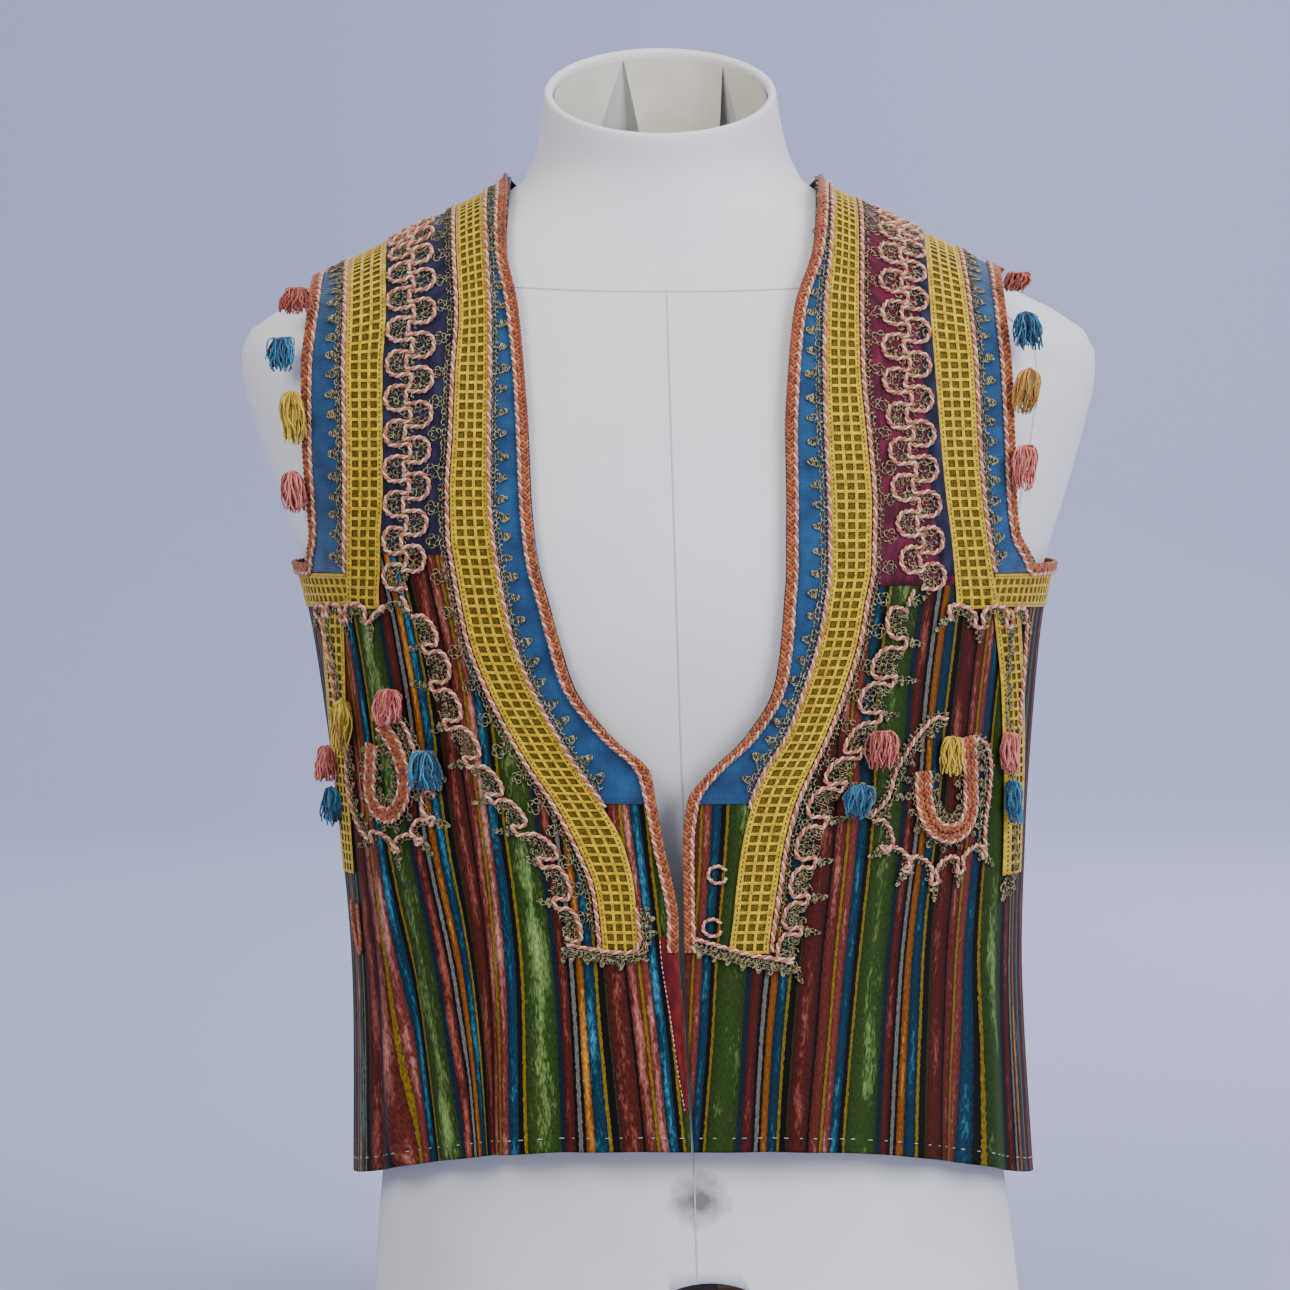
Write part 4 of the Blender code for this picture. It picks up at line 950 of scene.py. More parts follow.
columns = spread((ARM_IN - 0.22, ARM_IN + 0.05), (3,))
heights = spread((366.0, CHEST, SHOULDER), (26, 20))
mesh = strip_mesh("velvet_ground_edge", 1, columns, heights, BED + APPLIED)
piece = place("velvet_ground_edge", mesh, navy_velvet)
wall(piece, 0.4)
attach(piece, "root")


# ---- Yellow openwork ribbons -----------------------------------------------------------------------------
# Handmade yellow ribbon in a lattice of three rows of square holes between firm edges, over a strip of dark
# net. It runs down each side of the neck, down beside the armhole and round under the arm, and down the side.

HOLE_PITCH = 4.5
RIB = 1.35
RAILS = (0.0, 0.15, 0.335, 0.41, 0.59, 0.665, 0.85, 1.0)
RIBBON_LIFT = 0.75
RIBBON_WIDTH = 19.5
RIBBON = 0.55


def openwork(name, width, length, at, flip):
    """Ribbon with square holes: at(w, s) gives the place for a share across and a length along."""
    periods = max(int(length / HOLE_PITCH), 1)
    pitch = length / periods
    stops = []
    for k in range(periods):
        stops += [k * pitch, k * pitch + RIB]
    stops = np.array(stops + [length])
    rails = np.array(RAILS)

    def cells(i, j):
        return i not in (1, 3, 5) or j % 2 == 0

    def point(i, j):
        return at(rails[i], stops[j])

    def flat(i, j):
        return np.stack([rails[i] * width, stops[j]], -1) * MM

    mesh = grid_mesh(name, len(rails) - 1, len(stops) - 1, point, cells, flat)
    if flip:
        mesh.flip_normals()
    return mesh


def path_length(points):
    return np.concatenate([[0.0], np.cumsum(np.linalg.norm(np.diff(points, axis=0), axis=1))])


def down_column(side, c0, c1, low, high, lift):
    """at() for a ribbon between two columns, measured from its foot up."""
    r = spread((low, CHEST, SHOULDER), (60, 60)) if high > CHEST else np.linspace(low, high, 80)
    middle = on_vest(*front_place(side, np.full(len(r), (c0 + c1) / 2), r), lift)[0]
    along = path_length(middle)

    def at(w, s):
        phi, z = front_place(side, c0 + (c1 - c0) * w, np.interp(s, along, r))
        return on_vest(phi, z, lift)[0]

    return at, along[-1]


def under_arm(side, lift):
    """at() for the ribbon that turns out under the armhole to the side seam."""
    start = front_place(side, np.array([ARM_OUT - 0.02]), np.array([362.0]))[0][0]
    phi = np.linspace(start, side * math.pi / 2, 60)
    along = path_length(on_vest(phi, np.full(60, 362.0), lift)[0])

    def at(w, s):
        share = s / along[-1]
        top = 366.3 - 1.0 * share
        low = 351.5 - 3.0 * share
        return on_vest(np.interp(s, along, phi), top + (low - top) * w, lift)[0]

    return at, along[-1]


ribbon_gimp, tree, shader = finish("yellow_cotton_gimp", Roughness=0.7, Sheen_Weight=0.3,
                                   Sheen_Roughness=0.4, Specular_IOR_Level=0.3)
cut = add_node(tree, "ShaderNodeUVMap", uv_map="cut").outputs["UV"]
# Threads wound across the ribs, 0.5 mm apart
wound = add_node(tree, "ShaderNodeTexWave", {"Vector": cut}, wave_type="BANDS", bands_direction="DIAGONAL",
                 Scale=420.0, Distortion=3.0, Detail=2.0, Detail_Scale=3.0)
soil = speckled(tree, cut, 260.0, 6.0)
dirt = ranged(tree, soil, 0.32, 0.68)
tone = add_node(tree, "ShaderNodeMixRGB", {"Fac": dirt}, Color1=shade("#a88408"), Color2=shade("#f2cc1c"))
groove = ranged(tree, wound.outputs["Fac"], 0.0, 0.45, 0.55, 1.0)
thread = add_node(tree, "ShaderNodeMixRGB", {"Color1": tone.outputs["Color"], "Color2": groove},
                  blend_type="MULTIPLY", Fac=0.8)
# A row of pinholes down each edge, 2.2 mm apart
split = add_node(tree, "ShaderNodeSeparateXYZ", {"Vector": cut})
off_middle = reckoned(tree, "SUBTRACT", split.outputs["X"], RIBBON_WIDTH * MM / 2)
in_row = reckoned(tree, "COMPARE", reckoned(tree, "ABSOLUTE", off_middle), 0.0082, 0.00035)
open_part = reckoned(tree, "LESS_THAN", reckoned(tree, "PINGPONG", split.outputs["Y"], 0.0011), 0.0005)
pinhole = reckoned(tree, "MULTIPLY", in_row, open_part)
thread = add_node(tree, "ShaderNodeMixRGB", {"Fac": pinhole, "Color1": thread.outputs["Color"]},
                  Color2=shade("#4a3810"))
tree.links.new(thread.outputs["Color"], shader.inputs["Base Color"])
raised(tree, shader, wound.outputs["Fac"], 0.6, 0.0004)

net, tree, shader = finish("dark_net", Roughness=0.85, Specular_IOR_Level=0.2)
cut = add_node(tree, "ShaderNodeUVMap", uv_map="cut").outputs["UV"]
mesh_holes = add_node(tree, "ShaderNodeTexVoronoi", {"Vector": cut}, Scale=1100.0, Randomness=0.6)
strand = ranged(tree, mesh_holes.outputs["Distance"], 0.2, 0.6)
tinted(tree, shader, strand, "#241c08", "#6e5a14")
raised(tree, shader, mesh_holes.outputs["Distance"], 0.5, 0.0004)

for side, word in WORDS.items():
    foot = 196.0
    down = ARM_OUT + (0.85 if side < 0 else 0.62)
    runs = (
        ("neck_ribbon_", down_column(side, RIB_IN, RIB_OUT, foot, SHOULDER, RIBBON_LIFT),
         down_column(side, RIB_IN + 0.04, RIB_OUT - 0.04, foot + 0.6, SHOULDER, BED), side < 0),
        ("arm_ribbon_", down_column(side, ARM_IN, ARM_OUT, 350.8, SHOULDER, RIBBON_LIFT),
         down_column(side, ARM_IN + 0.04, ARM_OUT - 0.04, 351.4, SHOULDER, BED), side < 0),
        ("arm_ribbon_foot_", under_arm(side, RIBBON_LIFT), under_arm(side, BED + 0.2), side > 0),
        ("side_ribbon_", down_column(side, down - 0.75, down, 226.0, 350.0, RIBBON_LIFT),
         down_column(side, down - 0.72, down - 0.03, 226.5, 350.0, BED), side < 0),
    )
    for name, (at, length), (under, under_length), flip in runs:
        mesh = openwork(name + word, RIBBON_WIDTH, length, at, flip)
        piece = place("openwork_" + name + word, mesh, ribbon_gimp)
        wall(piece, RIBBON)
        rounded = piece.modifiers.new("rounded", "BEVEL")
        rounded.width = 0.16 * MM
        rounded.segments = 1
        if name != "arm_ribbon_foot_":
            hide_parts(name + word)
        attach(piece, "root")
        steps = int(under_length / 5)

        def bed_point(i, j):
            return under(i / 6, j * under_length / steps)

        def bed_flat(i, j):
            return np.stack([i * RIBBON_WIDTH / 6, j * under_length / steps], -1) * MM

        mesh = grid_mesh(name + "net_" + word, 6, steps, bed_point, None, bed_flat)
        if flip:
            mesh.flip_normals()
        piece = place(name + "net_" + word, mesh, net)
        wall(piece, 0.3)
        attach(piece, "root")


# ---- Cords and braids of the edges -----------------------------------------------------------------------
# Two-ply cord of one cream and one pink silk strand, and a flat braid of three orange and rust strands. The
# braid is sewn round the neck and the armholes, with the cord beside it and along each ribbon.

STRAND = 0.62         # radius of a cord's strand
CORD_PITCH = 5.4
BRAID_STRAND = 0.78
BRAID_PITCH = 7.5
FINE_STRAND = 0.5     # of the vent cord and the button loops
FINE_PITCH = 4.0
STITCH_STEP = 0.4     # between the points of a stitch
ON_TRIM = 1.7         # lift of a cord's middle


def silk(name, light, dark, rough=0.55, sheen=0.4):
    """Loosely spun silk floss: fine fibres, a soft shine, and a tone that goes darker in random flecks and
    patches.
    """
    made, tree, shader = finish(name, Roughness=rough, Sheen_Weight=sheen, Sheen_Roughness=0.35,
                                Specular_IOR_Level=0.35)
    where = add_node(tree, "ShaderNodeTexCoord").outputs["Object"]
    fibres = speckled(tree, where, 1500.0, 3.0)
    patches = speckled(tree, where, 160.0, 4.0)
    both = reckoned(tree, "ADD", fibres, patches)
    amount = ranged(tree, both, 0.75, 1.25)
    tinted(tree, shader, amount, dark, light)
    raised(tree, shader, fibres, 0.5, 0.0003)
    return made


def frames(points, normals):
    """Directions along a run, across it and out of the cloth."""
    along = np.gradient(points, axis=0)
    along /= np.maximum(np.linalg.norm(along, axis=1, keepdims=True), 1e-9)
    normals = normals - along * np.sum(normals * along, axis=1, keepdims=True)
    normals /= np.maximum(np.linalg.norm(normals, axis=1, keepdims=True), 1e-9)
    return along, np.cross(along, normals), normals


def soften(points, times):
    """Rounds a run off, all but its ends."""
    for _ in range(times):
        points[1:-1] = (points[:-2] + 2 * points[1:-1] + points[2:]) / 4


def evened(run, step, soft=0):
    """The same run, points and directions out, in even steps and softened."""
    both = resample(np.concatenate(run, axis=1), step)
    soften(both, soft)
    return both[:, :3], both[:, 3:]


def run_on(surface, phi, z, lift, step, beside=0.0, soft=0):
    """A run of even steps on the cloth, moved sideways by beside, with its directions out."""
    points, normals = evened(surface(phi, z, lift), step)
    soften(points, soft)
    if beside:
        _, across, normals = frames(points, normals)
        points = points + across * beside
        soften(points, soft)
    return points, normals


def column_run(side, c, low, high, lift, beside=0.0):
    """A run up a column; beside is mm away from the middle of the front."""
    r = spread((low, CHEST, SHOULDER), (90, 90)) if high > CHEST else np.linspace(low, high, 120)
    phi, z = front_place(side, np.full(len(r), c), r)
    return run_on(on_vest, phi, z, lift, 0.9, beside * side)


def twisted(run, colours=(0, 1), phase=0.0, strand=STRAND, pitch=CORD_PITCH):
    points, normals = run
    _, across, out = frames(points, normals)
    turn = 2 * math.pi * path_length(points) / pitch + phase
    made = []
    for k, colour in enumerate(colours):
        a = (turn + 2 * math.pi * k / len(colours))[:, None]
        made.append((points + 0.92 * strand * (across * np.cos(a) + out * np.sin(a)), colour))
    return made


def plaited(run, colours=(0, 1, 0), width=1.5, pitch=BRAID_PITCH):
    points, normals = run
    _, across, out = frames(points, normals)
    turn = 2 * math.pi * path_length(points) / pitch
    made = []
    for k, colour in enumerate(colours):
        a = (turn + 2 * math.pi * k / 3)[:, None]
        made.append((points + across * width * np.sin(a) + out * 0.55 * np.sin(2 * a), colour))
    return made


cream_silk = silk("cream_silk_strand", "#ecd2b0", "#b88a66")
pink_silk = silk("pink_silk_strand", "#cf7e60", "#944430")
orange_silk = silk("orange_silk_strand", "#bf6f38", "#84401a")
rust_silk = silk("rust_silk_strand", "#98482a", "#5c2410")

for side, word in WORDS.items():
    cords = []
    cords += twisted(column_run(side, BRAID, 197.0, SHOULDER, ON_TRIM, -1.1))
    cords += twisted(column_run(side, RIB_IN, 262.0, SHOULDER, ON_TRIM, -0.9))
    cords += twisted(column_run(side, RIB_OUT, 197.0, SHOULDER, ON_TRIM, 1.3))
    trim("neck_cords_" + word, cords, STRAND, [cream_silk, pink_silk])

    braid = plaited(column_run(side, EDGE, 197.0, SHOULDER, 1.3, 1.9), (0, 1, 0), 1.45, 6.0)
    rim = column_run(side, EDGE, 430.0, SHOULDER, 1.5, 0.4)
    braid += twisted(rim, (1, 1), strand=0.5, pitch=3.2)
    trim("plait_front_" + word, braid, 0.7, [orange_silk, rust_silk],
         "front_braid_" + word)

    # Armhole: down the front, round under the arm, and up the back
    r = np.concatenate([np.linspace(SHOULDER, CHEST, 60), np.linspace(CHEST, 376.0, 40)[1:]])
    phi, z = front_place(side, np.full(len(r), RIM + 0.62), r)
    turn = np.linspace(phi[-1], side * math.pi / 2, 24)[3:]
    phi = np.concatenate([phi, turn])
    z = np.concatenate([z, np.full(len(turn), 368.6)])
    front_edge = run_on(on_vest, phi, z, 1.3, 0.8, 0.0, 4)
    braid = plaited(front_edge)
    trim("plait_arm_" + word, braid, BRAID_STRAND, [orange_silk, rust_silk],
         "arm_braid_" + word, 1)
    cords = twisted(run_on(on_vest, phi, z, ON_TRIM, 0.8, side * 2.9, 4))
    cords += twisted(column_run(side, ARM_OUT, 367.0, SHOULDER, ON_TRIM, 0.9))
    trim("arm_cords_" + word, cords, STRAND, [cream_silk, pink_silk])

    r = np.concatenate([np.linspace(372.0, CHEST, 40), np.linspace(CHEST, SHOULDER, 60)[1:]])
    phi, z = back_place(np.full(len(r), 4.55 * side), r)
    turn = np.linspace(side * math.pi / 2, phi[0], 24)[:-3]
    phi = np.concatenate([turn, phi])
    z = np.concatenate([np.full(len(turn), 368.6), z])
    back_edge = run_on(on_back, phi, z, 1.3, 0.8, 0.0, 4)
    trim("plait_arm_back_" + word, plaited(back_edge), BRAID_STRAND, [orange_silk, rust_silk],
         "arm_braid_back_" + word)

c = np.linspace(-1.0, 1.0, 90)
phi, z = back_place(c, np.full(90, SHOULDER))
neck = run_on(on_back, phi, z - 2.2, 1.3, 0.8)
trim("plait_neck_back", plaited(neck), BRAID_STRAND, [orange_silk, rust_silk],
     "neck_braid_back")


# ---- Metal lace beside the cords -------------------------------------------------------------------------
# Crocheted gilt-metal thread, gone grey-brown: a narrow band of curled loops with a picot every centimetre
# or so, sewn along the outer side of each cord.

WIRE = 0.27
LACE_STEP = 0.4

lace_thread, tree, shader = finish("tarnished_metal_thread_painted_glints", Metallic=0.35, Roughness=0.45)
where = add_node(tree, "ShaderNodeTexCoord").outputs["Object"]
# Dark tarnish speckled with painted glints: light flecks where the crinkled thread would catch the light.
spots = speckled(tree, where, 700.0, 4.0)
amount = ranged(tree, spots, 0.38, 0.62)
tinted(tree, shader, amount, "#2e2a1a", "#aea274")
raised(tree, shader, spots, 0.4, 0.0002)

rng = np.random.default_rng(5)


def curled(run, beside, loop, pitch):
    """One thread that curls along a run in uneven loops."""
    points, normals = run
    along_dir, across, out = frames(points, normals)
    s = path_length(points)
    count = max(int(s[-1] / pitch), 1)
    knots = np.linspace(0.0, s[-1], count + 1)
    size = np.interp(s, knots, loop * rng.uniform(0.65, 1.35, count + 1))
    drift = np.interp(s, knots, rng.uniform(-0.35, 0.35, count + 1) * loop)
    bounce = np.interp(s, knots, rng.uniform(-0.4, 0.5, count + 1))
    turn = 2 * math.pi * s / pitch + np.interp(s, knots, rng.uniform(-0.9, 0.9, count + 1))
    return (points + across * (beside + drift + size * np.sin(turn))[:, None]
            + along_dir * (size * np.cos(turn))[:, None]
            + out * (bounce + 0.5 * np.sin(turn * 0.5))[:, None], 0)


def picot(point, tip, across, out, size):
    """A small pointed knot of loops; tip and across are directions on the cloth."""
    t = np.linspace(0.0, 1.0, 43)
    turn = 2 * math.pi * 5 * t + rng.uniform(0, 6.28)
    reach = size * (0.15 + 0.6 * np.abs(np.sin(math.pi * 1.5 * t)))
    wide = size * 0.42 * (1.2 - reach / size)
    spot = (point + tip * (reach + 0.16 * size * np.cos(turn))[:, None]
            + across * (wide * np.sin(turn))[:, None]
            + out * (0.3 * np.sin(turn * 1.7) + rng.uniform(-0.1, 0.3))[:, None])
    return (spot, 0)


def rosette(point, tip, across, out, size):
    """A little ring of petals at the end of a stalk."""
    turn = np.linspace(0.0, 4 * math.pi, 44) + rng.uniform(0, 6.28)
    r = size * (0.34 + 0.14 * np.cos(2.5 * turn))
    centre = point + tip * size * 0.55
    return (centre + tip * (r * np.cos(turn))[:, None] + across * (r * np.sin(turn))[:, None]
            + out * (0.3 * np.sin(2.5 * turn))[:, None], 0)


def edging(run, way, near, band, every, size, knot):
    """Lace along a run: way is +1 or -1 across it, near the start of the band, band its width."""
    fine = evened(run, LACE_STEP)
    made = []
    rows = max(int(round(band / 1.25)), 1)
    for k in range(rows):
        made.append(curled(fine, way * (near + (k + 0.5) * band / rows), 0.72, 2.2 + 0.3 * k))
    along_dir, across, out = frames(*fine)
    s = path_length(fine[0])
    at = every * 0.5
    while at < s[-1] - 2.0:
        i = min(int(at / LACE_STEP), len(s) - 1)
        base = fine[0][i] + across[i] * way * (near + band * 0.8)
        maker = rosette if knot == "rosette" else picot
        made.append(maker(base, across[i] * way, along_dir[i], out[i], size * rng.uniform(0.85, 1.2)))
        at += every * rng.uniform(0.86, 1.14)
    return made


for side, word in WORDS.items():
    lace = edging(column_run(side, RIB_OUT, 206.0, SHOULDER, 1.0), side, 2.4, 3.0, 15.2, 6.6, "rosette")
    inner = column_run(side, RIB_IN, 268.0, SHOULDER - 0.4, 1.3)
    lace += edging(inner, -side, 2.1, 2.8, 10.0, 5.4, "picot")
    lace += edging(column_run(side, ARM_OUT, 369.0, SHOULDER, 1.3), side, 2.0, 3.2, 9.4, 5.4, "picot")
    trim("edge_lace_" + word, lace, WIRE, [lace_thread], ends=False)


# ---- Serpentines -----------------------------------------------------------------------------------------
# Two twisted cords sewn in facing rows of round loops from the shoulder down the chest, on plain velvet. The
# loops of one reach between those of the other, with curled metal lace packed inside them.

MEANDER = 16.4        # mm from loop to loop
LOOP_REACH = 11.0     # from the middle to the crown of a loop
LOOP_FOOT = 1.2       # how far past the middle a row's loops meet
SERPENTINE_FOOT = 357.5
BOW_BELLY = 0.3       # how far an arch narrows at its foot
BOW_FULLNESS = 0.62   # under 1 is rounder than a sine


def bow(start, crown, end):
    """A round arch from start over crown to end, in the plane of the cloth."""
    start, crown, end = (np.asarray(p, float) for p in (start, crown, end))
    t = np.linspace(0.0, 1.0, 33)[:, None]
    middle = (start + end) / 2
    half = (end - start) / 2
    return (middle - half * np.cos(math.pi * t) * (1 - BOW_BELLY * (1 - np.sin(math.pi * t)) ** 2)
            + (crown - middle) * np.sin(math.pi * t) ** BOW_FULLNESS)


def on_spine(spine, places):
    """Runs laid beside a middle line: places are mm across it and mm along it."""
    across_mm, along_mm = np.asarray(places, float).T
    _, across, out = frames(*spine)
    s = path_length(spine[0])
    point, beside, normals = (np.stack([np.interp(along_mm, s, values[:, k]) for k in range(3)], -1)
                              for values in (spine[0], across, out))
    return point + beside * across_mm[:, None], normals


for side, word in WORDS.items():
    r = spread((SERPENTINE_FOOT, CHEST, SHOULDER), (60, 60))
    phi, z = front_place(side, np.full(len(r), (SCALLOP + ARM_IN) / 2 + 0.01), r)
    spine = run_on(on_vest, phi, z, 0.9, 0.5)
    total = path_length(spine[0])[-1]
    cords, lace = [], []
    for way, first in ((side, 0.0), (-side, MEANDER / 2)):
        path = []
        at = first
        while at + MEANDER < total + 3.0:
            foot = LOOP_FOOT + rng.uniform(-0.5, 0.5)
            reach = LOOP_REACH + rng.uniform(-0.5, 0.5)
            arch = bow((-way * foot, at + 1.1), (way * reach, at + MEANDER / 2),
                       (-way * foot, at + MEANDER - 1.1))
            arch[:, 1] = np.minimum(arch[:, 1], total)
            path.append(arch)
            for share, size in ((0.76, 1.15), (0.54, 1.0)):
                inner = arch * share
                inner[:, 1] = at + MEANDER / 2 + (arch[:, 1] - at - MEANDER / 2) * (share - 0.05)
                inner[:, 0] += way * 0.6
                lace.append(curled(evened(on_spine(spine, inner), LACE_STEP), 0.0, size, 2.4))
            at += MEANDER
        line = evened(on_spine(spine, np.concatenate(path)), 0.4, 3)
        line = evened((line[0] + 0.8 * line[1], line[1]), 0.8)
        cords += twisted(line, phase=rng.uniform(0, 6))
    wave = np.sin(2 * math.pi * np.linspace(0, total / MEANDER, 400))
    middle = np.stack([rng.uniform(-0.5, 0.5) + 3.0 * side * wave, np.linspace(2.0, total, 400)], -1)
    for offset in (-1.6, 1.6):
        lace.append(curled(evened(on_spine(spine, middle), LACE_STEP), offset, 1.1, 2.6))
    trim("serpentine_cords_" + word, cords, STRAND, [cream_silk, pink_silk],
         "serpentine_" + word)
    trim("serpentine_lace_" + word, lace, WIRE, [lace_thread], ends=False)


# ---- Scalloped borders -----------------------------------------------------------------------------------
# The cord goes on from each serpentine down beside the neck ribbon in open scallops, each filled with metal
# lace, with a spike of lace where two scallops meet. A shorter row hangs under the arm ribbon.

# Places on the front, mm from the middle and above the floor: where scallops meet, and their crowns between
MEETS = {
    -1: ((120.0, 350.0), (113.5, 333.5), (111.0, 316.0), (105.5, 298.5), (96.5, 281.5), (86.5, 265.5),
         (75.5, 251.0), (64.0, 237.0), (58.5, 218.5), (53.5, 200.0)),
    1: ((103.5, 353.0), (102.5, 336.0), (96.5, 319.0), (90.0, 302.5), (80.5, 286.0), (72.5, 271.5),
        (63.5, 255.5), (58.0, 237.0), (54.5, 220.5), (51.0, 206.0), (47.0, 191.5)),
}
CROWNS = {
    -1: ((108.5, 341.5), (102.5, 325.5), (98.5, 308.0), (91.5, 291.5), (82.0, 274.0), (72.5, 260.0),
         (58.5, 244.5), (52.0, 228.0), (47.5, 208.5)),
    1: ((94.0, 346.0), (87.0, 327.0), (81.0, 312.0), (74.5, 292.5), (65.0, 278.0), (57.0, 265.0),
        (50.5, 246.0), (47.0, 228.0), (43.5, 213.0), (40.5, 199.5)),
}
UNDERARM_MEETS = {
    -1: ((131.0, 351.0), (138.5, 344.0), (150.0, 344.5), (158.5, 346.5), (163.5, 345.0)),
    1: ((120.5, 346.5), (135.5, 342.0), (150.0, 342.0), (158.5, 343.0)),
}
UNDERARM_CROWNS = {
    -1: ((133.5, 350.5), (144.5, 353.0), (154.5, 352.5), (161.5, 351.5)),
    1: ((128.0, 352.5), (143.5, 352.0), (154.5, 350.5)),
}


def flowing(places):
    """A smooth line through places (Catmull-Rom)."""
    p = np.asarray(places, float)
    p = np.vstack([2 * p[0] - p[1], p, 2 * p[-1] - p[-2]])
    t = np.linspace(0.0, 1.0, 12, endpoint=False)[:, None]
    parts = []
    for a, b, c, d in zip(p[:-3], p[1:-2], p[2:-1], p[3:]):
        parts.append(0.5 * (2 * b + (c - a) * t + (2 * a - 5 * b + 4 * c - d) * t ** 2
                            + (3 * b - 3 * c + d - a) * t ** 3))
    return np.concatenate(parts + [p[-2:-1]])


# The cord that closes the foot of each neck ribbon, and which side of it the lace lies
RIBBON_END = {
    -1: ((53.5, 200.0), (46.0, 198.6), (38.0, 197.4), (30.0, 196.6), (23.5, 197.6), (21.0, 202.0),
         (21.3, 209.0), (22.0, 217.0)),
    1: ((47.0, 191.5), (41.0, 193.2), (34.0, 194.6), (28.0, 195.6), (15.0, 199.5), (3.5, 203.0)),
}
RIBBON_END_WAY = {-1: 1.0, 1: -1.0}


def on_front(side, places, lift):
    """Runs on a front through places given as mm from the middle and above the floor."""
    x, z = np.asarray(places, float).T
    return run_on(on_vest, side * angle_of(x, z), z, lift, 0.5)


def scalloped(side, meets, crowns, lift, spike, inner_rows=3):
    """Cords over each scallop, the lace inside it and the spikes where scallops meet."""
    path = np.concatenate([bow(a, c, b) for a, c, b in zip(meets[:-1], crowns, meets[1:])])
    run = evened(on_front(side, path, lift + 0.9), 0.4, 3)
    cords = twisted(evened(run, 0.8), phase=rng.uniform(0, 6))
    lace = []
    for a, c, b in zip(meets[:-1], crowns, meets[1:]):
        a, b, c = (np.asarray(p, float) for p in (a, b, c))
        middle = (a + b) / 2
        for k in range(inner_rows):
            share = 0.8 - 0.22 * k
            arch = middle + (bow(a, c, b) - middle) * share
            lace.append(curled(evened(on_front(side, arch, lift + 0.3), LACE_STEP), 0.0, 1.15, 2.3))
    for k, meet in enumerate(meets):
        meet = np.asarray(meet, float)
        near = [np.asarray(crowns[i], float) for i in (k - 1, k) if 0 <= i < len(crowns)]
        away = meet - sum(near) / len(near)
        away /= max(np.linalg.norm(away), 1e-6)
        turn = rng.uniform(-0.35, 0.2)
        away = np.array([away[0] * math.cos(turn) - away[1] * math.sin(turn),
                         away[0] * math.sin(turn) + away[1] * math.cos(turn)])
        reach = spike * rng.uniform(0.8, 1.2)
        fine = evened(on_front(side, [meet - away, meet + away * reach], lift + 0.3), LACE_STEP)
        lace.append(curled(fine, 0.8, 0.9, 2.3))
        lace.append(curled(fine, -0.8, 0.9, 2.3))
        along_dir, across, out = frames(*fine)
        lace.append(picot(fine[0][-1], along_dir[-1], across[-1], out[-1], 3.0))
        lace.append(picot(fine[0][len(fine[0]) // 2], across[0], along_dir[0], out[0], 2.6))
        lace.append(picot(fine[0][len(fine[0]) // 2], -across[0], along_dir[0], out[0], 2.6))
    return cords, lace


for side, word in WORDS.items():
    cords, lace = scalloped(side, MEETS[side], CROWNS[side], 0.9, 6.5)
    link = on_front(side, [MEETS[side][0], (MEETS[side][0][0] + 3.0, MEETS[side][0][1] + 7.0)], 1.8)
    end = on_front(side, flowing(RIBBON_END[side]), ON_TRIM)
    for run in (link, end):
        cords += twisted(evened(run, 0.8))
    below = evened(end, LACE_STEP)
    lace += edging(below, RIBBON_END_WAY[side], 1.6, 3.4, 7.0, 3.4, "picot")
    for beside in (2.4, 4.2):
        lace.append(curled(below, beside * RIBBON_END_WAY[side], 1.1, 2.1))
    trim("scallop_cords_" + word, cords, STRAND, [cream_silk, pink_silk],
         "scallops_" + word)
    trim("scallop_lace_" + word, lace, WIRE, [lace_thread], ends=False)

    cords, lace = scalloped(side, UNDERARM_MEETS[side], UNDERARM_CROWNS[side], 1.2, 5.0, 2)
    trim("underarm_cords_" + word, cords, STRAND, [cream_silk, pink_silk],
         "underarm_scallops_" + word, 1)
    trim("underarm_lace_" + word, lace, WIRE, [lace_thread], ends=False)


# ---- Pocket ornaments ------------------------------------------------------------------------------------
# Two rows of orange braid bent into a horseshoe, with the twisted cord along both edges and lace in its
# bend, set in an outline of cord and lace that ends in scallops.

# Middle line of the horseshoe, mm, from the inner arm round the bend to the outer arm
HORSESHOE = {
    -1: ((134.5, 298.0), (128.0, 288.0), (124.5, 276.0), (125.0, 265.0), (129.0, 257.5), (133.5, 255.5),
         (138.0, 258.0), (140.5, 266.0), (140.0, 276.0), (139.0, 288.0)),
    1: ((108.0, 277.0), (108.0, 266.0), (109.5, 257.0), (113.5, 250.5), (119.5, 248.0), (125.5, 250.5),
        (129.0, 257.5), (129.5, 267.0), (129.5, 279.0), (129.0, 292.0)),
}
OUTLINE = {
    -1: ((137.0, 301.0), (130.0, 303.0), (123.5, 297.0), (119.5, 286.0), (116.5, 276.0), (111.0, 268.5)),
    1: ((120.0, 300.5), (114.5, 301.5), (107.5, 295.0), (101.5, 287.0), (95.5, 277.0), (92.0, 266.0),
        (84.0, 257.5)),
}
CAGE_MEETS = {
    -1: ((111.0, 268.5), (111.5, 253.5), (117.5, 243.5), (129.5, 238.0), (142.0, 243.5)),
    1: ((84.0, 257.5), (88.5, 241.5), (99.0, 231.5), (111.5, 224.5), (124.0, 230.0), (136.0, 236.0)),
}
CAGE_CROWNS = {
    -1: ((117.0, 262.5), (121.0, 252.0), (126.5, 246.5), (136.5, 246.5)),
    1: ((93.0, 249.5), (98.5, 240.5), (106.5, 237.5), (118.0, 237.0), (130.0, 241.0)),
}
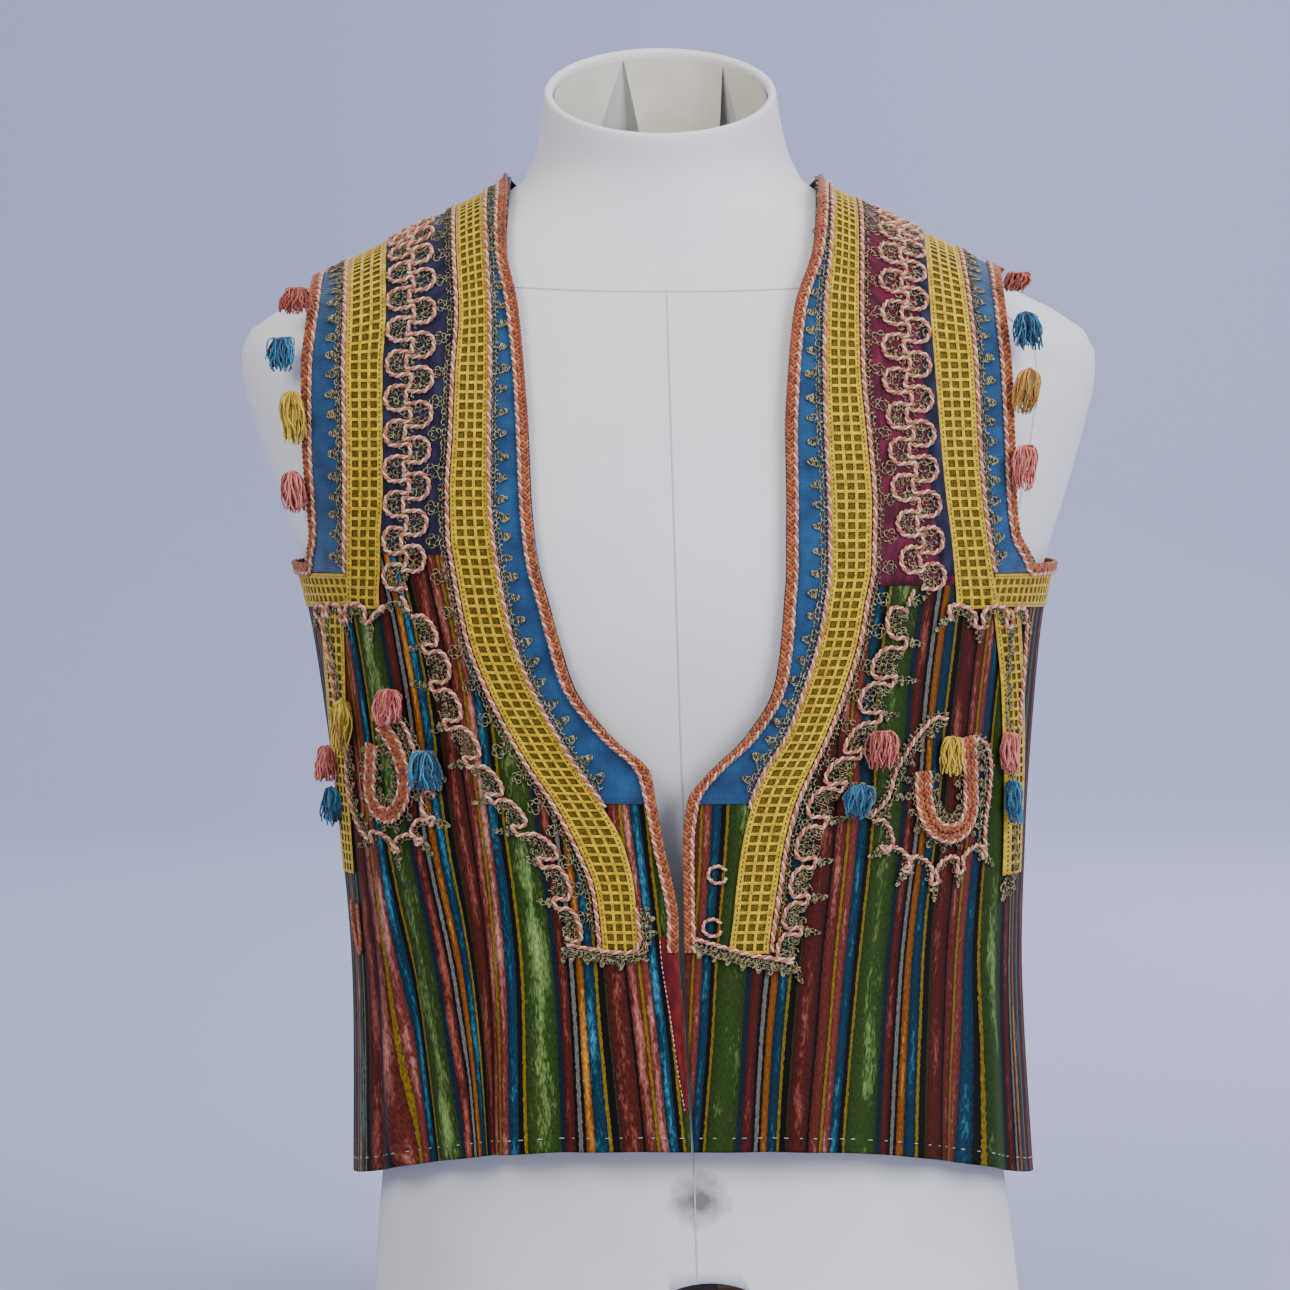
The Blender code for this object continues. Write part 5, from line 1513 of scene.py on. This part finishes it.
UPRIGHT = {
    -1: ((142.0, 243.5), (147.0, 250.0), (150.5, 262.0), (151.5, 276.0), (150.0, 288.0)),
    1: ((136.0, 236.0), (136.0, 250.0), (138.5, 266.0), (139.5, 278.0), (138.0, 287.0), (134.0, 291.0),
        (131.0, 288.0)),
}


def moved(run, beside, rise=0.0, step=0.8):
    points, normals = run
    _, across, out = frames(points, normals)
    return evened((points + across * beside + out * rise, out), step)


for side, word in WORDS.items():
    middle = on_front(side, flowing(HORSESHOE[side]), 2.0)
    half = 1.4 if side < 0 else 1.7
    plaits = plaited(moved(middle, half), (0, 1, 0), 1.1) + plaited(moved(middle, -half), (0, 0, 1), 1.1)
    trim("horseshoe_plait_" + word, plaits, 0.7, [orange_silk, rust_silk],
         "pocket_" + word, 1)
    cords = twisted(moved(middle, 2.15 * half, 0.2)) + twisted(moved(middle, -2.15 * half, 0.2))
    outline = on_front(side, flowing(OUTLINE[side]), 1.8)
    upright = on_front(side, flowing(UPRIGHT[side]), 1.8)
    cords += twisted(moved(outline, 0.0)) + twisted(moved(upright, 0.0))
    more, lace = scalloped(side, CAGE_MEETS[side], CAGE_CROWNS[side], 0.9, 4.5, 1)
    cords += more
    for run, way in ((outline, -side), (upright, -side)):
        fine = moved(run, 0.0, -0.6, LACE_STEP)
        lace.append(curled(fine, 2.2 * way, 0.95, 2.3))
        lace += edging((fine[0], fine[1]), way, 2.6, 1.4, 9.0, 4.0, "picot")
        lace.append(curled(fine, -2.0 * way, 0.8, 2.3))
    ring = moved(middle, 0.0, -0.6, LACE_STEP)
    for way in (-1, 1):
        lace += edging(ring, way, 2.15 * half + 1.0, 1.5, 6.5, 3.2, "rosette")
    trim("pocket_cords_" + word, cords, STRAND, [cream_silk, pink_silk],
         "pocket_cage_" + word)
    trim("pocket_lace_" + word, lace, WIRE, [lace_thread], ends=False)


# ---- Cords down the sides --------------------------------------------------------------------------------
# A twisted cord sewn down over the side ribbon from the underarm to the pocket, with metal lace beside it.
# On the right it ends in a hook, and the lace runs on to a curl.

SIDE_CORD = {
    -1: ((161.5, 345.0), (159.5, 335.0), (157.5, 322.0), (156.0, 308.0), (154.0, 296.0), (151.0, 288.0)),
    1: ((158.5, 343.0), (157.5, 330.0), (156.0, 315.0), (154.5, 300.0), (153.0, 287.0), (149.5, 281.0),
        (146.5, 284.5)),
}
SIDE_LACE = {
    -1: ((158.0, 344.0), (155.5, 325.0), (153.0, 305.0), (150.5, 290.0)),
    1: ((150.5, 343.0), (149.0, 320.0), (148.0, 296.0), (149.5, 270.0), (150.5, 245.0), (150.0, 229.0),
        (148.5, 220.5), (145.5, 218.0), (144.5, 221.5), (147.0, 223.5)),
}
# Fine cord round the foot of the short vent in the left side
VENT = ((152.8, 213.0), (152.5, 205.0), (151.4, 196.0), (149.5, 188.5), (148.8, 193.0), (149.4, 203.0),
        (149.8, 212.0))

for side, word in WORDS.items():
    cord = on_front(side, flowing(SIDE_CORD[side]), ON_TRIM)
    trim("side_cord_" + word, twisted(moved(cord, 0.0)), STRAND, [cream_silk, pink_silk],
         sides=1)
    if side < 0:
        vent = on_front(side, flowing(VENT), 0.9)
        runs = twisted(moved(vent, 0.0), strand=FINE_STRAND, pitch=FINE_PITCH)
        trim("vent_cord", runs, FINE_STRAND, [orange_silk, pink_silk], sides=1)
    line = on_front(side, flowing(SIDE_LACE[side]), ON_TRIM - 0.2)
    fine = moved(line, 0.0, 0.0, LACE_STEP)
    lace = [curled(fine, 0.0, 0.9, 2.2), curled(fine, 1.3, 0.8, 2.5)]
    lace += edging(fine, -side, 0.6, 1.4, 8.5, 3.4, "picot")
    trim("side_lace_" + word, lace, WIRE, [lace_thread], ends=False)


# ---- Facing and stitches ---------------------------------------------------------------------------------
# The fronts are faced with magenta-red silk, which shows as a strip that rolls out at the left front's edge
# below the braid, held by pink running stitches. The hem is turned up with pale running stitches.

FACING = np.array([(106.0, 1.2), (130.0, 3.6), (160.0, 5.6), (190.0, 7.4), (204.0, 8.0)])   # height, width
HEM_STITCH = 2.4
HEM_GAP = 4.6
facing_silk = plain_velvet("magenta_silk_facing", "#86181f", "#480a0e")


def edge_x(side, z):
    phi, high = front_place(side, np.zeros(len(z)), z)
    return column_x(side, np.zeros(len(z)), z), high


def facing_at(i, j):
    height = FACING[0, 0] + (FACING[-1, 0] - FACING[0, 0]) * j / 40
    x, z = edge_x(-1, height)
    inward = np.interp(height, *FACING.T) * i / 4
    return on_vest(-angle_of(x + inward + 0.2, z), z, 0.1)[0]


def facing_flat(i, j):
    return np.stack([i * 2.0, j * 2.5], -1) * MM


mesh = grid_mesh("front_facing", 4, 40, facing_at, None, facing_flat)
mesh.flip_normals()
piece = place("front_facing", mesh, facing_silk)
wall(piece, 0.35)
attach(piece, "root")


def running(side, x, z, lift, length, gap):
    """Short stitches along a line on a front."""
    line = on_front(side, np.stack([x, z], -1), lift)
    both = resample(np.concatenate(line, axis=1), STITCH_STEP)
    every = int((length + gap) / STITCH_STEP)
    made = []
    at = rng.integers(0, every)
    while at + 6 < len(both):
        n = int(length / STITCH_STEP * rng.uniform(0.8, 1.2))
        part = both[at:at + n + 1, :3].copy()
        if len(part) > 2:
            part -= both[at:at + n + 1, 3:] * (0.55 * (np.linspace(-1, 1, len(part)) ** 4))[:, None]
            made.append((part, 0))
        at += int(every * rng.uniform(0.85, 1.15))
    return made


pale_thread = silk("pale_sewing_thread", "#b9c8c0", "#6f9294", 0.6, 0.2)
pink_thread = silk("pink_sewing_thread", "#efb9b4", "#c97f7c", 0.6, 0.2)
heights = np.linspace(FACING[0, 0] + 2.0, FACING[-1, 0] - 1.0, 60)
x, z = edge_x(-1, heights)
stitches = running(-1, x + np.interp(heights, *FACING.T) + 0.5, z, 0.4, 1.3, 1.5)
trim("facing_stitches", stitches, 0.28, [pink_thread], sides=1)
for side in (-1, 1):
    c = spread((0.3, 9.6), (160,))
    phi, z = front_place(side, c, np.full(len(c), HEM))
    keep = np.abs(phi) < math.pi / 2 - 0.06
    run = on_vest(phi[keep], z[keep] + 6.5, 0.45)
    both = resample(np.concatenate(run, axis=1), STITCH_STEP)
    made = []
    at = 3
    while at + 10 < len(both):
        n = int(HEM_STITCH / STITCH_STEP * rng.uniform(0.7, 1.2))
        points, out = both[at:at + n, :3], both[at:at + n, 3:]
        made.append((points - out * (0.6 * np.linspace(-1, 1, len(points)) ** 4)[:, None], 0))
        at += n + int(HEM_GAP / STITCH_STEP * rng.uniform(0.6, 1.6))
    trim("hem_stitches_" + WORDS[side], made, 0.21, [pale_thread], sides=1)


# ---- Tassels ---------------------------------------------------------------------------------------------
# Tufts of silk floss, looped over at the top and cut at the foot. Each is sewn on by a knot; those of the
# armholes hang from its edge over the form's shoulders.

FLOSS = 0.38
# Light, middle and darker floss of each colour: the darker two are painted shade for strands deep in a tuft,
# and vary the tone at random outside it.
FLOSS_COLOURS = {
    "rust": ("#c0664a", "#a04a35", "#70301f"), "blue": ("#3f8fb8", "#22607f", "#123c55"),
    "pink": ("#de8b7c", "#c8695c", "#994338"), "yellow": ("#e6c53a", "#cba41e", "#8f6f12"),
    "ochre": ("#d29a3e", "#b5832a", "#7d5816"),
}
floss = {name: [silk(f"{name}_silk_floss_{k}", colour, colours[min(k + 1, 2)], 0.5, 0.5)
                for k, colour in enumerate(colours)] for name, colours in FLOSS_COLOURS.items()}


def tuft(low, high, strands, lobes=1):
    """Wavy strands from a knot at the top, that bulge, part in lobes and hang to the foot of the box."""
    middle = (low + high) / 2
    half = (high - low) / 2
    made = []
    clumps = rng.uniform(-1.0, 1.0, (max(lobes, 1) * 3, 3))
    for k in range(strands):
        clump = clumps[k % len(clumps)]
        turn = rng.uniform(0, 2 * math.pi)
        out = math.sqrt(rng.uniform(0.02, 1.0))
        t = np.linspace(0.0, 1.0, 8)
        swell = np.sqrt(np.clip(1 - (1 - np.minimum(t * 1.7, 1.0)) ** 2, 0, 1)) * (1 - 0.3 * t ** 3)
        wave = rng.uniform(0.0, 6.28, 3)
        depth = rng.uniform(0.3, 1.0)
        x = middle[0] + half[0] * (out * math.cos(turn) * swell * 0.72 + clump[0] * 0.42 * t ** 1.3)
        y = middle[1] + half[1] * (out * math.sin(turn) * swell * 0.85)
        end = rng.uniform(0.62, 1.0) * (1.0 - 0.16 * abs(clump[2]))
        z = high[2] - 1.4 + (low[2] - high[2] + 1.4) * t * end
        z = z + (1.4 + 1.6 * clump[1]) * out * np.sin(math.pi * np.minimum(t * 1.8, 1.0))
        x = x + depth * np.sin(7.0 * t + wave[0]) * np.minimum(t * 3, 1.0)
        y = y + 0.5 * depth * np.cos(6.0 * t + wave[1])
        z = z + 0.5 * depth * np.sin(9.0 * t + wave[2])
        x = np.clip(x, middle[0] - half[0], middle[0] + half[0])
        # Painted shade: strands deep in the tuft take the darker floss, and those outside mostly the lightest.
        painted_depth_shade = int(rng.choice([0, 0, 1, 2], 1)[0]) if out > 0.5 else int(rng.choice([1, 2], 1)[0])
        made.append((np.stack([x, y, z], -1), painted_depth_shade))
    return made


for node in sorted(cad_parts):
    if not node.startswith("tassel_"):
        continue
    low, high = (np.array(corner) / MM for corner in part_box(node))
    colour = node.split("_")[-1] if node.split("_")[-1] in FLOSS_COLOURS else node.split("_")[-2]
    grow = np.array([2.2, 0.5, 1.2])
    strands = 125 if "pocket" in node else 100
    lobes = 2 if node.endswith(("arm_left_yellow", "arm_left_blue", "arm_right_blue")) else 1
    runs = tuft(low - grow, high + grow * (1, 1, 0.5), strands, lobes)
    trim("floss_" + node, runs, FLOSS, floss[colour],
         node, ends=False)


# ---- Button loops ----------------------------------------------------------------------------------------
# Two small loops of the twisted cord at the right front's edge, for ball buttons that are gone.

for node in ("button_loop_upper", "button_loop_lower"):
    low, high = (np.array(corner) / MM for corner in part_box(node))
    middle = (low + high) / 2
    reach = (high[0] - low[0]) / 2
    turn = np.linspace(0.5, 2 * math.pi - 0.4, 40)
    x = middle[0] - axis_x(middle[2]) + reach * 0.9 * np.cos(turn)
    z = middle[2] + (high[2] - low[2]) / 2 * 0.9 * np.sin(turn)
    run = on_front(1, np.stack([x, z], -1), 1.4)
    runs = twisted(moved(run, 0.0), strand=FINE_STRAND, pitch=FINE_PITCH)
    trim("cord_" + node, runs, FINE_STRAND, [cream_silk, pink_silk], node, 1)


# ---- Base ------------------------------------------------------------------------------------------------
# Under the form: a board and two blocks of waxed wood, glued in a stack. One is stained dark, one is pale.


def waxed_wood(name, light, dark, ring):
    """Planed wood under thin wax: grain lines ring mm apart, darker pores, a dull shine."""
    made, tree, shader = finish(name, Roughness=0.42, Coat_Weight=0.15, Coat_Roughness=0.3)
    where = add_node(tree, "ShaderNodeTexCoord").outputs["Object"]
    laid = add_node(tree, "ShaderNodeMapping", {"Vector": where}, Scale=(0.12, 1.0, 1.0))
    grain = add_node(tree, "ShaderNodeTexWave", {"Vector": laid.outputs["Vector"]}, wave_type="BANDS",
                     bands_direction="Z", Scale=BAND_SCALE / ring / MM, Distortion=5.0, Detail=4.0,
                     Detail_Scale=1.5)
    pores = speckled(tree, laid.outputs["Vector"], 900.0, 4.0)
    both = reckoned(tree, "MULTIPLY", grain.outputs["Fac"], pores)
    amount = ranged(tree, both, 0.08, 0.5)
    tinted(tree, shader, amount, dark, light)
    raised(tree, shader, pores, 0.2, 0.0002)
    return made


dark_wood = waxed_wood("stained_beech", "#5c2a10", "#361405", 2.2)
tan_wood = waxed_wood("waxed_beech", "#8f6a40", "#63431f", 2.6)
for node, wood in (("base_board", tan_wood), ("block_dark", dark_wood), ("block_tan", tan_wood)):
    for slot in bpy.data.objects[node].material_slots:
        slot.material = wood


# ---- Setting ---------------------------------------------------------------------------------------------
# A pale sweep of paper that is floor and wall in one, painted darker on the left as light falling off, and soft
# lamps from both sides.

SWEEP_WIDTH = 16.0
SWEEP_FRONT = -9.0
SWEEP_BACK = 4.6
SWEEP_RADIUS = 1.6
bm = bmesh.new()
profile = [(SWEEP_FRONT, 0.0)]
for k in range(13):
    turn = math.pi / 2 * k / 12
    profile.append((SWEEP_BACK - SWEEP_RADIUS * (1 - math.sin(turn)), SWEEP_RADIUS * (1 - math.cos(turn))))
profile.append((SWEEP_BACK, 5.0))
row = [bm.verts.new((-SWEEP_WIDTH / 2, y, z)) for y, z in profile]
edges = [bm.edges.new(pair) for pair in zip(row[:-1], row[1:])]
drawn = bmesh.ops.extrude_edge_only(bm, edges=edges)
for part in drawn["geom"]:
    if isinstance(part, bmesh.types.BMVert):
        part.co.x = SWEEP_WIDTH / 2
bmesh.ops.recalc_face_normals(bm, faces=bm.faces[:])
for f in bm.faces:
    f.smooth = True
mesh = bpy.data.meshes.new("sweep")
bm.to_mesh(mesh)
bm.free()
paper, tree, shader = finish("pale_paper", Roughness=0.95)
where = add_node(tree, "ShaderNodeTexCoord").outputs["Object"]
split = add_node(tree, "ShaderNodeSeparateXYZ", {"Vector": where})
# Painted light: the paper goes from darker on the left to lighter on the right, as the light falls off.
painted_light_falloff = ranged(tree, split.outputs["X"], -0.45, 0.4)
tinted(tree, shader, painted_light_falloff, "#a6abc7", "#b4b8d4")
sweep = place("sweep", mesh, paper)


def lamp(name, place_at, aim, power, size, colour):
    light = bpy.data.lights.new(name, "AREA")
    light.shape = "RECTANGLE"
    light.size, light.size_y = size
    light.energy = power
    light.color = shade(colour)[:3]
    obj = bpy.data.objects.new(name, light)
    bpy.context.scene.collection.objects.link(obj)
    obj.location = place_at
    toward = np.array(aim) - np.array(place_at)
    obj.rotation_euler = (math.acos(-toward[2] / np.linalg.norm(toward)), 0.0,
                          math.atan2(-toward[0], toward[1]))
    return obj


lamp("key", (-1.5, -2.3, 1.7), (0.0, 0.0, 0.33), 47.0, (1.2, 1.2), "#fffaf2")
lamp("fill", (2.1, -2.0, 1.5), (0.0, 0.0, 0.40), 88.0, (1.6, 1.6), "#f4f6ff")
lamp("top", (0.2, -0.3, 2.6), (0.0, 0.1, 0.3), 24.0, (1.8, 1.2), "#ffffff")
lamp("wall_wash", (0.0, 1.6, 3.0), (0.0, 4.4, 0.5), 84.0, (4.0, 0.8), "#eef0ff")
lamp("behind", (1.2, 2.6, 1.9), (0.0, 0.0, 0.35), 30.0, (1.6, 1.2), "#f6f4ff")
world = bpy.data.worlds.new("studio")
world.use_nodes = True
world.node_tree.nodes["Background"].inputs["Color"].default_value = shade("#c6cbe0")
world.node_tree.nodes["Background"].inputs["Strength"].default_value = 0.66
bpy.context.scene.world = world

CAMERA_DISTANCE = 3.0
CAMERA_HEIGHT_ANGLE = math.radians(3.0)
AIM = (-0.0109, MID_Y * MM, 0.330)
VIEW_WIDTH = 0.6037
SENSOR = 36.0
camera = bpy.data.cameras.new("camera")
camera.sensor_width = SENSOR
camera.lens = SENSOR * CAMERA_DISTANCE / VIEW_WIDTH
camera.clip_start = 0.1
camera.clip_end = 50.0
eye = bpy.data.objects.new("camera", camera)
bpy.context.scene.collection.objects.link(eye)
eye.location = (AIM[0], AIM[1] - CAMERA_DISTANCE * math.cos(CAMERA_HEIGHT_ANGLE),
                AIM[2] + CAMERA_DISTANCE * math.sin(CAMERA_HEIGHT_ANGLE))
eye.rotation_euler = (math.pi / 2 - CAMERA_HEIGHT_ANGLE, 0.0, 0.0)
bpy.context.scene.camera = eye
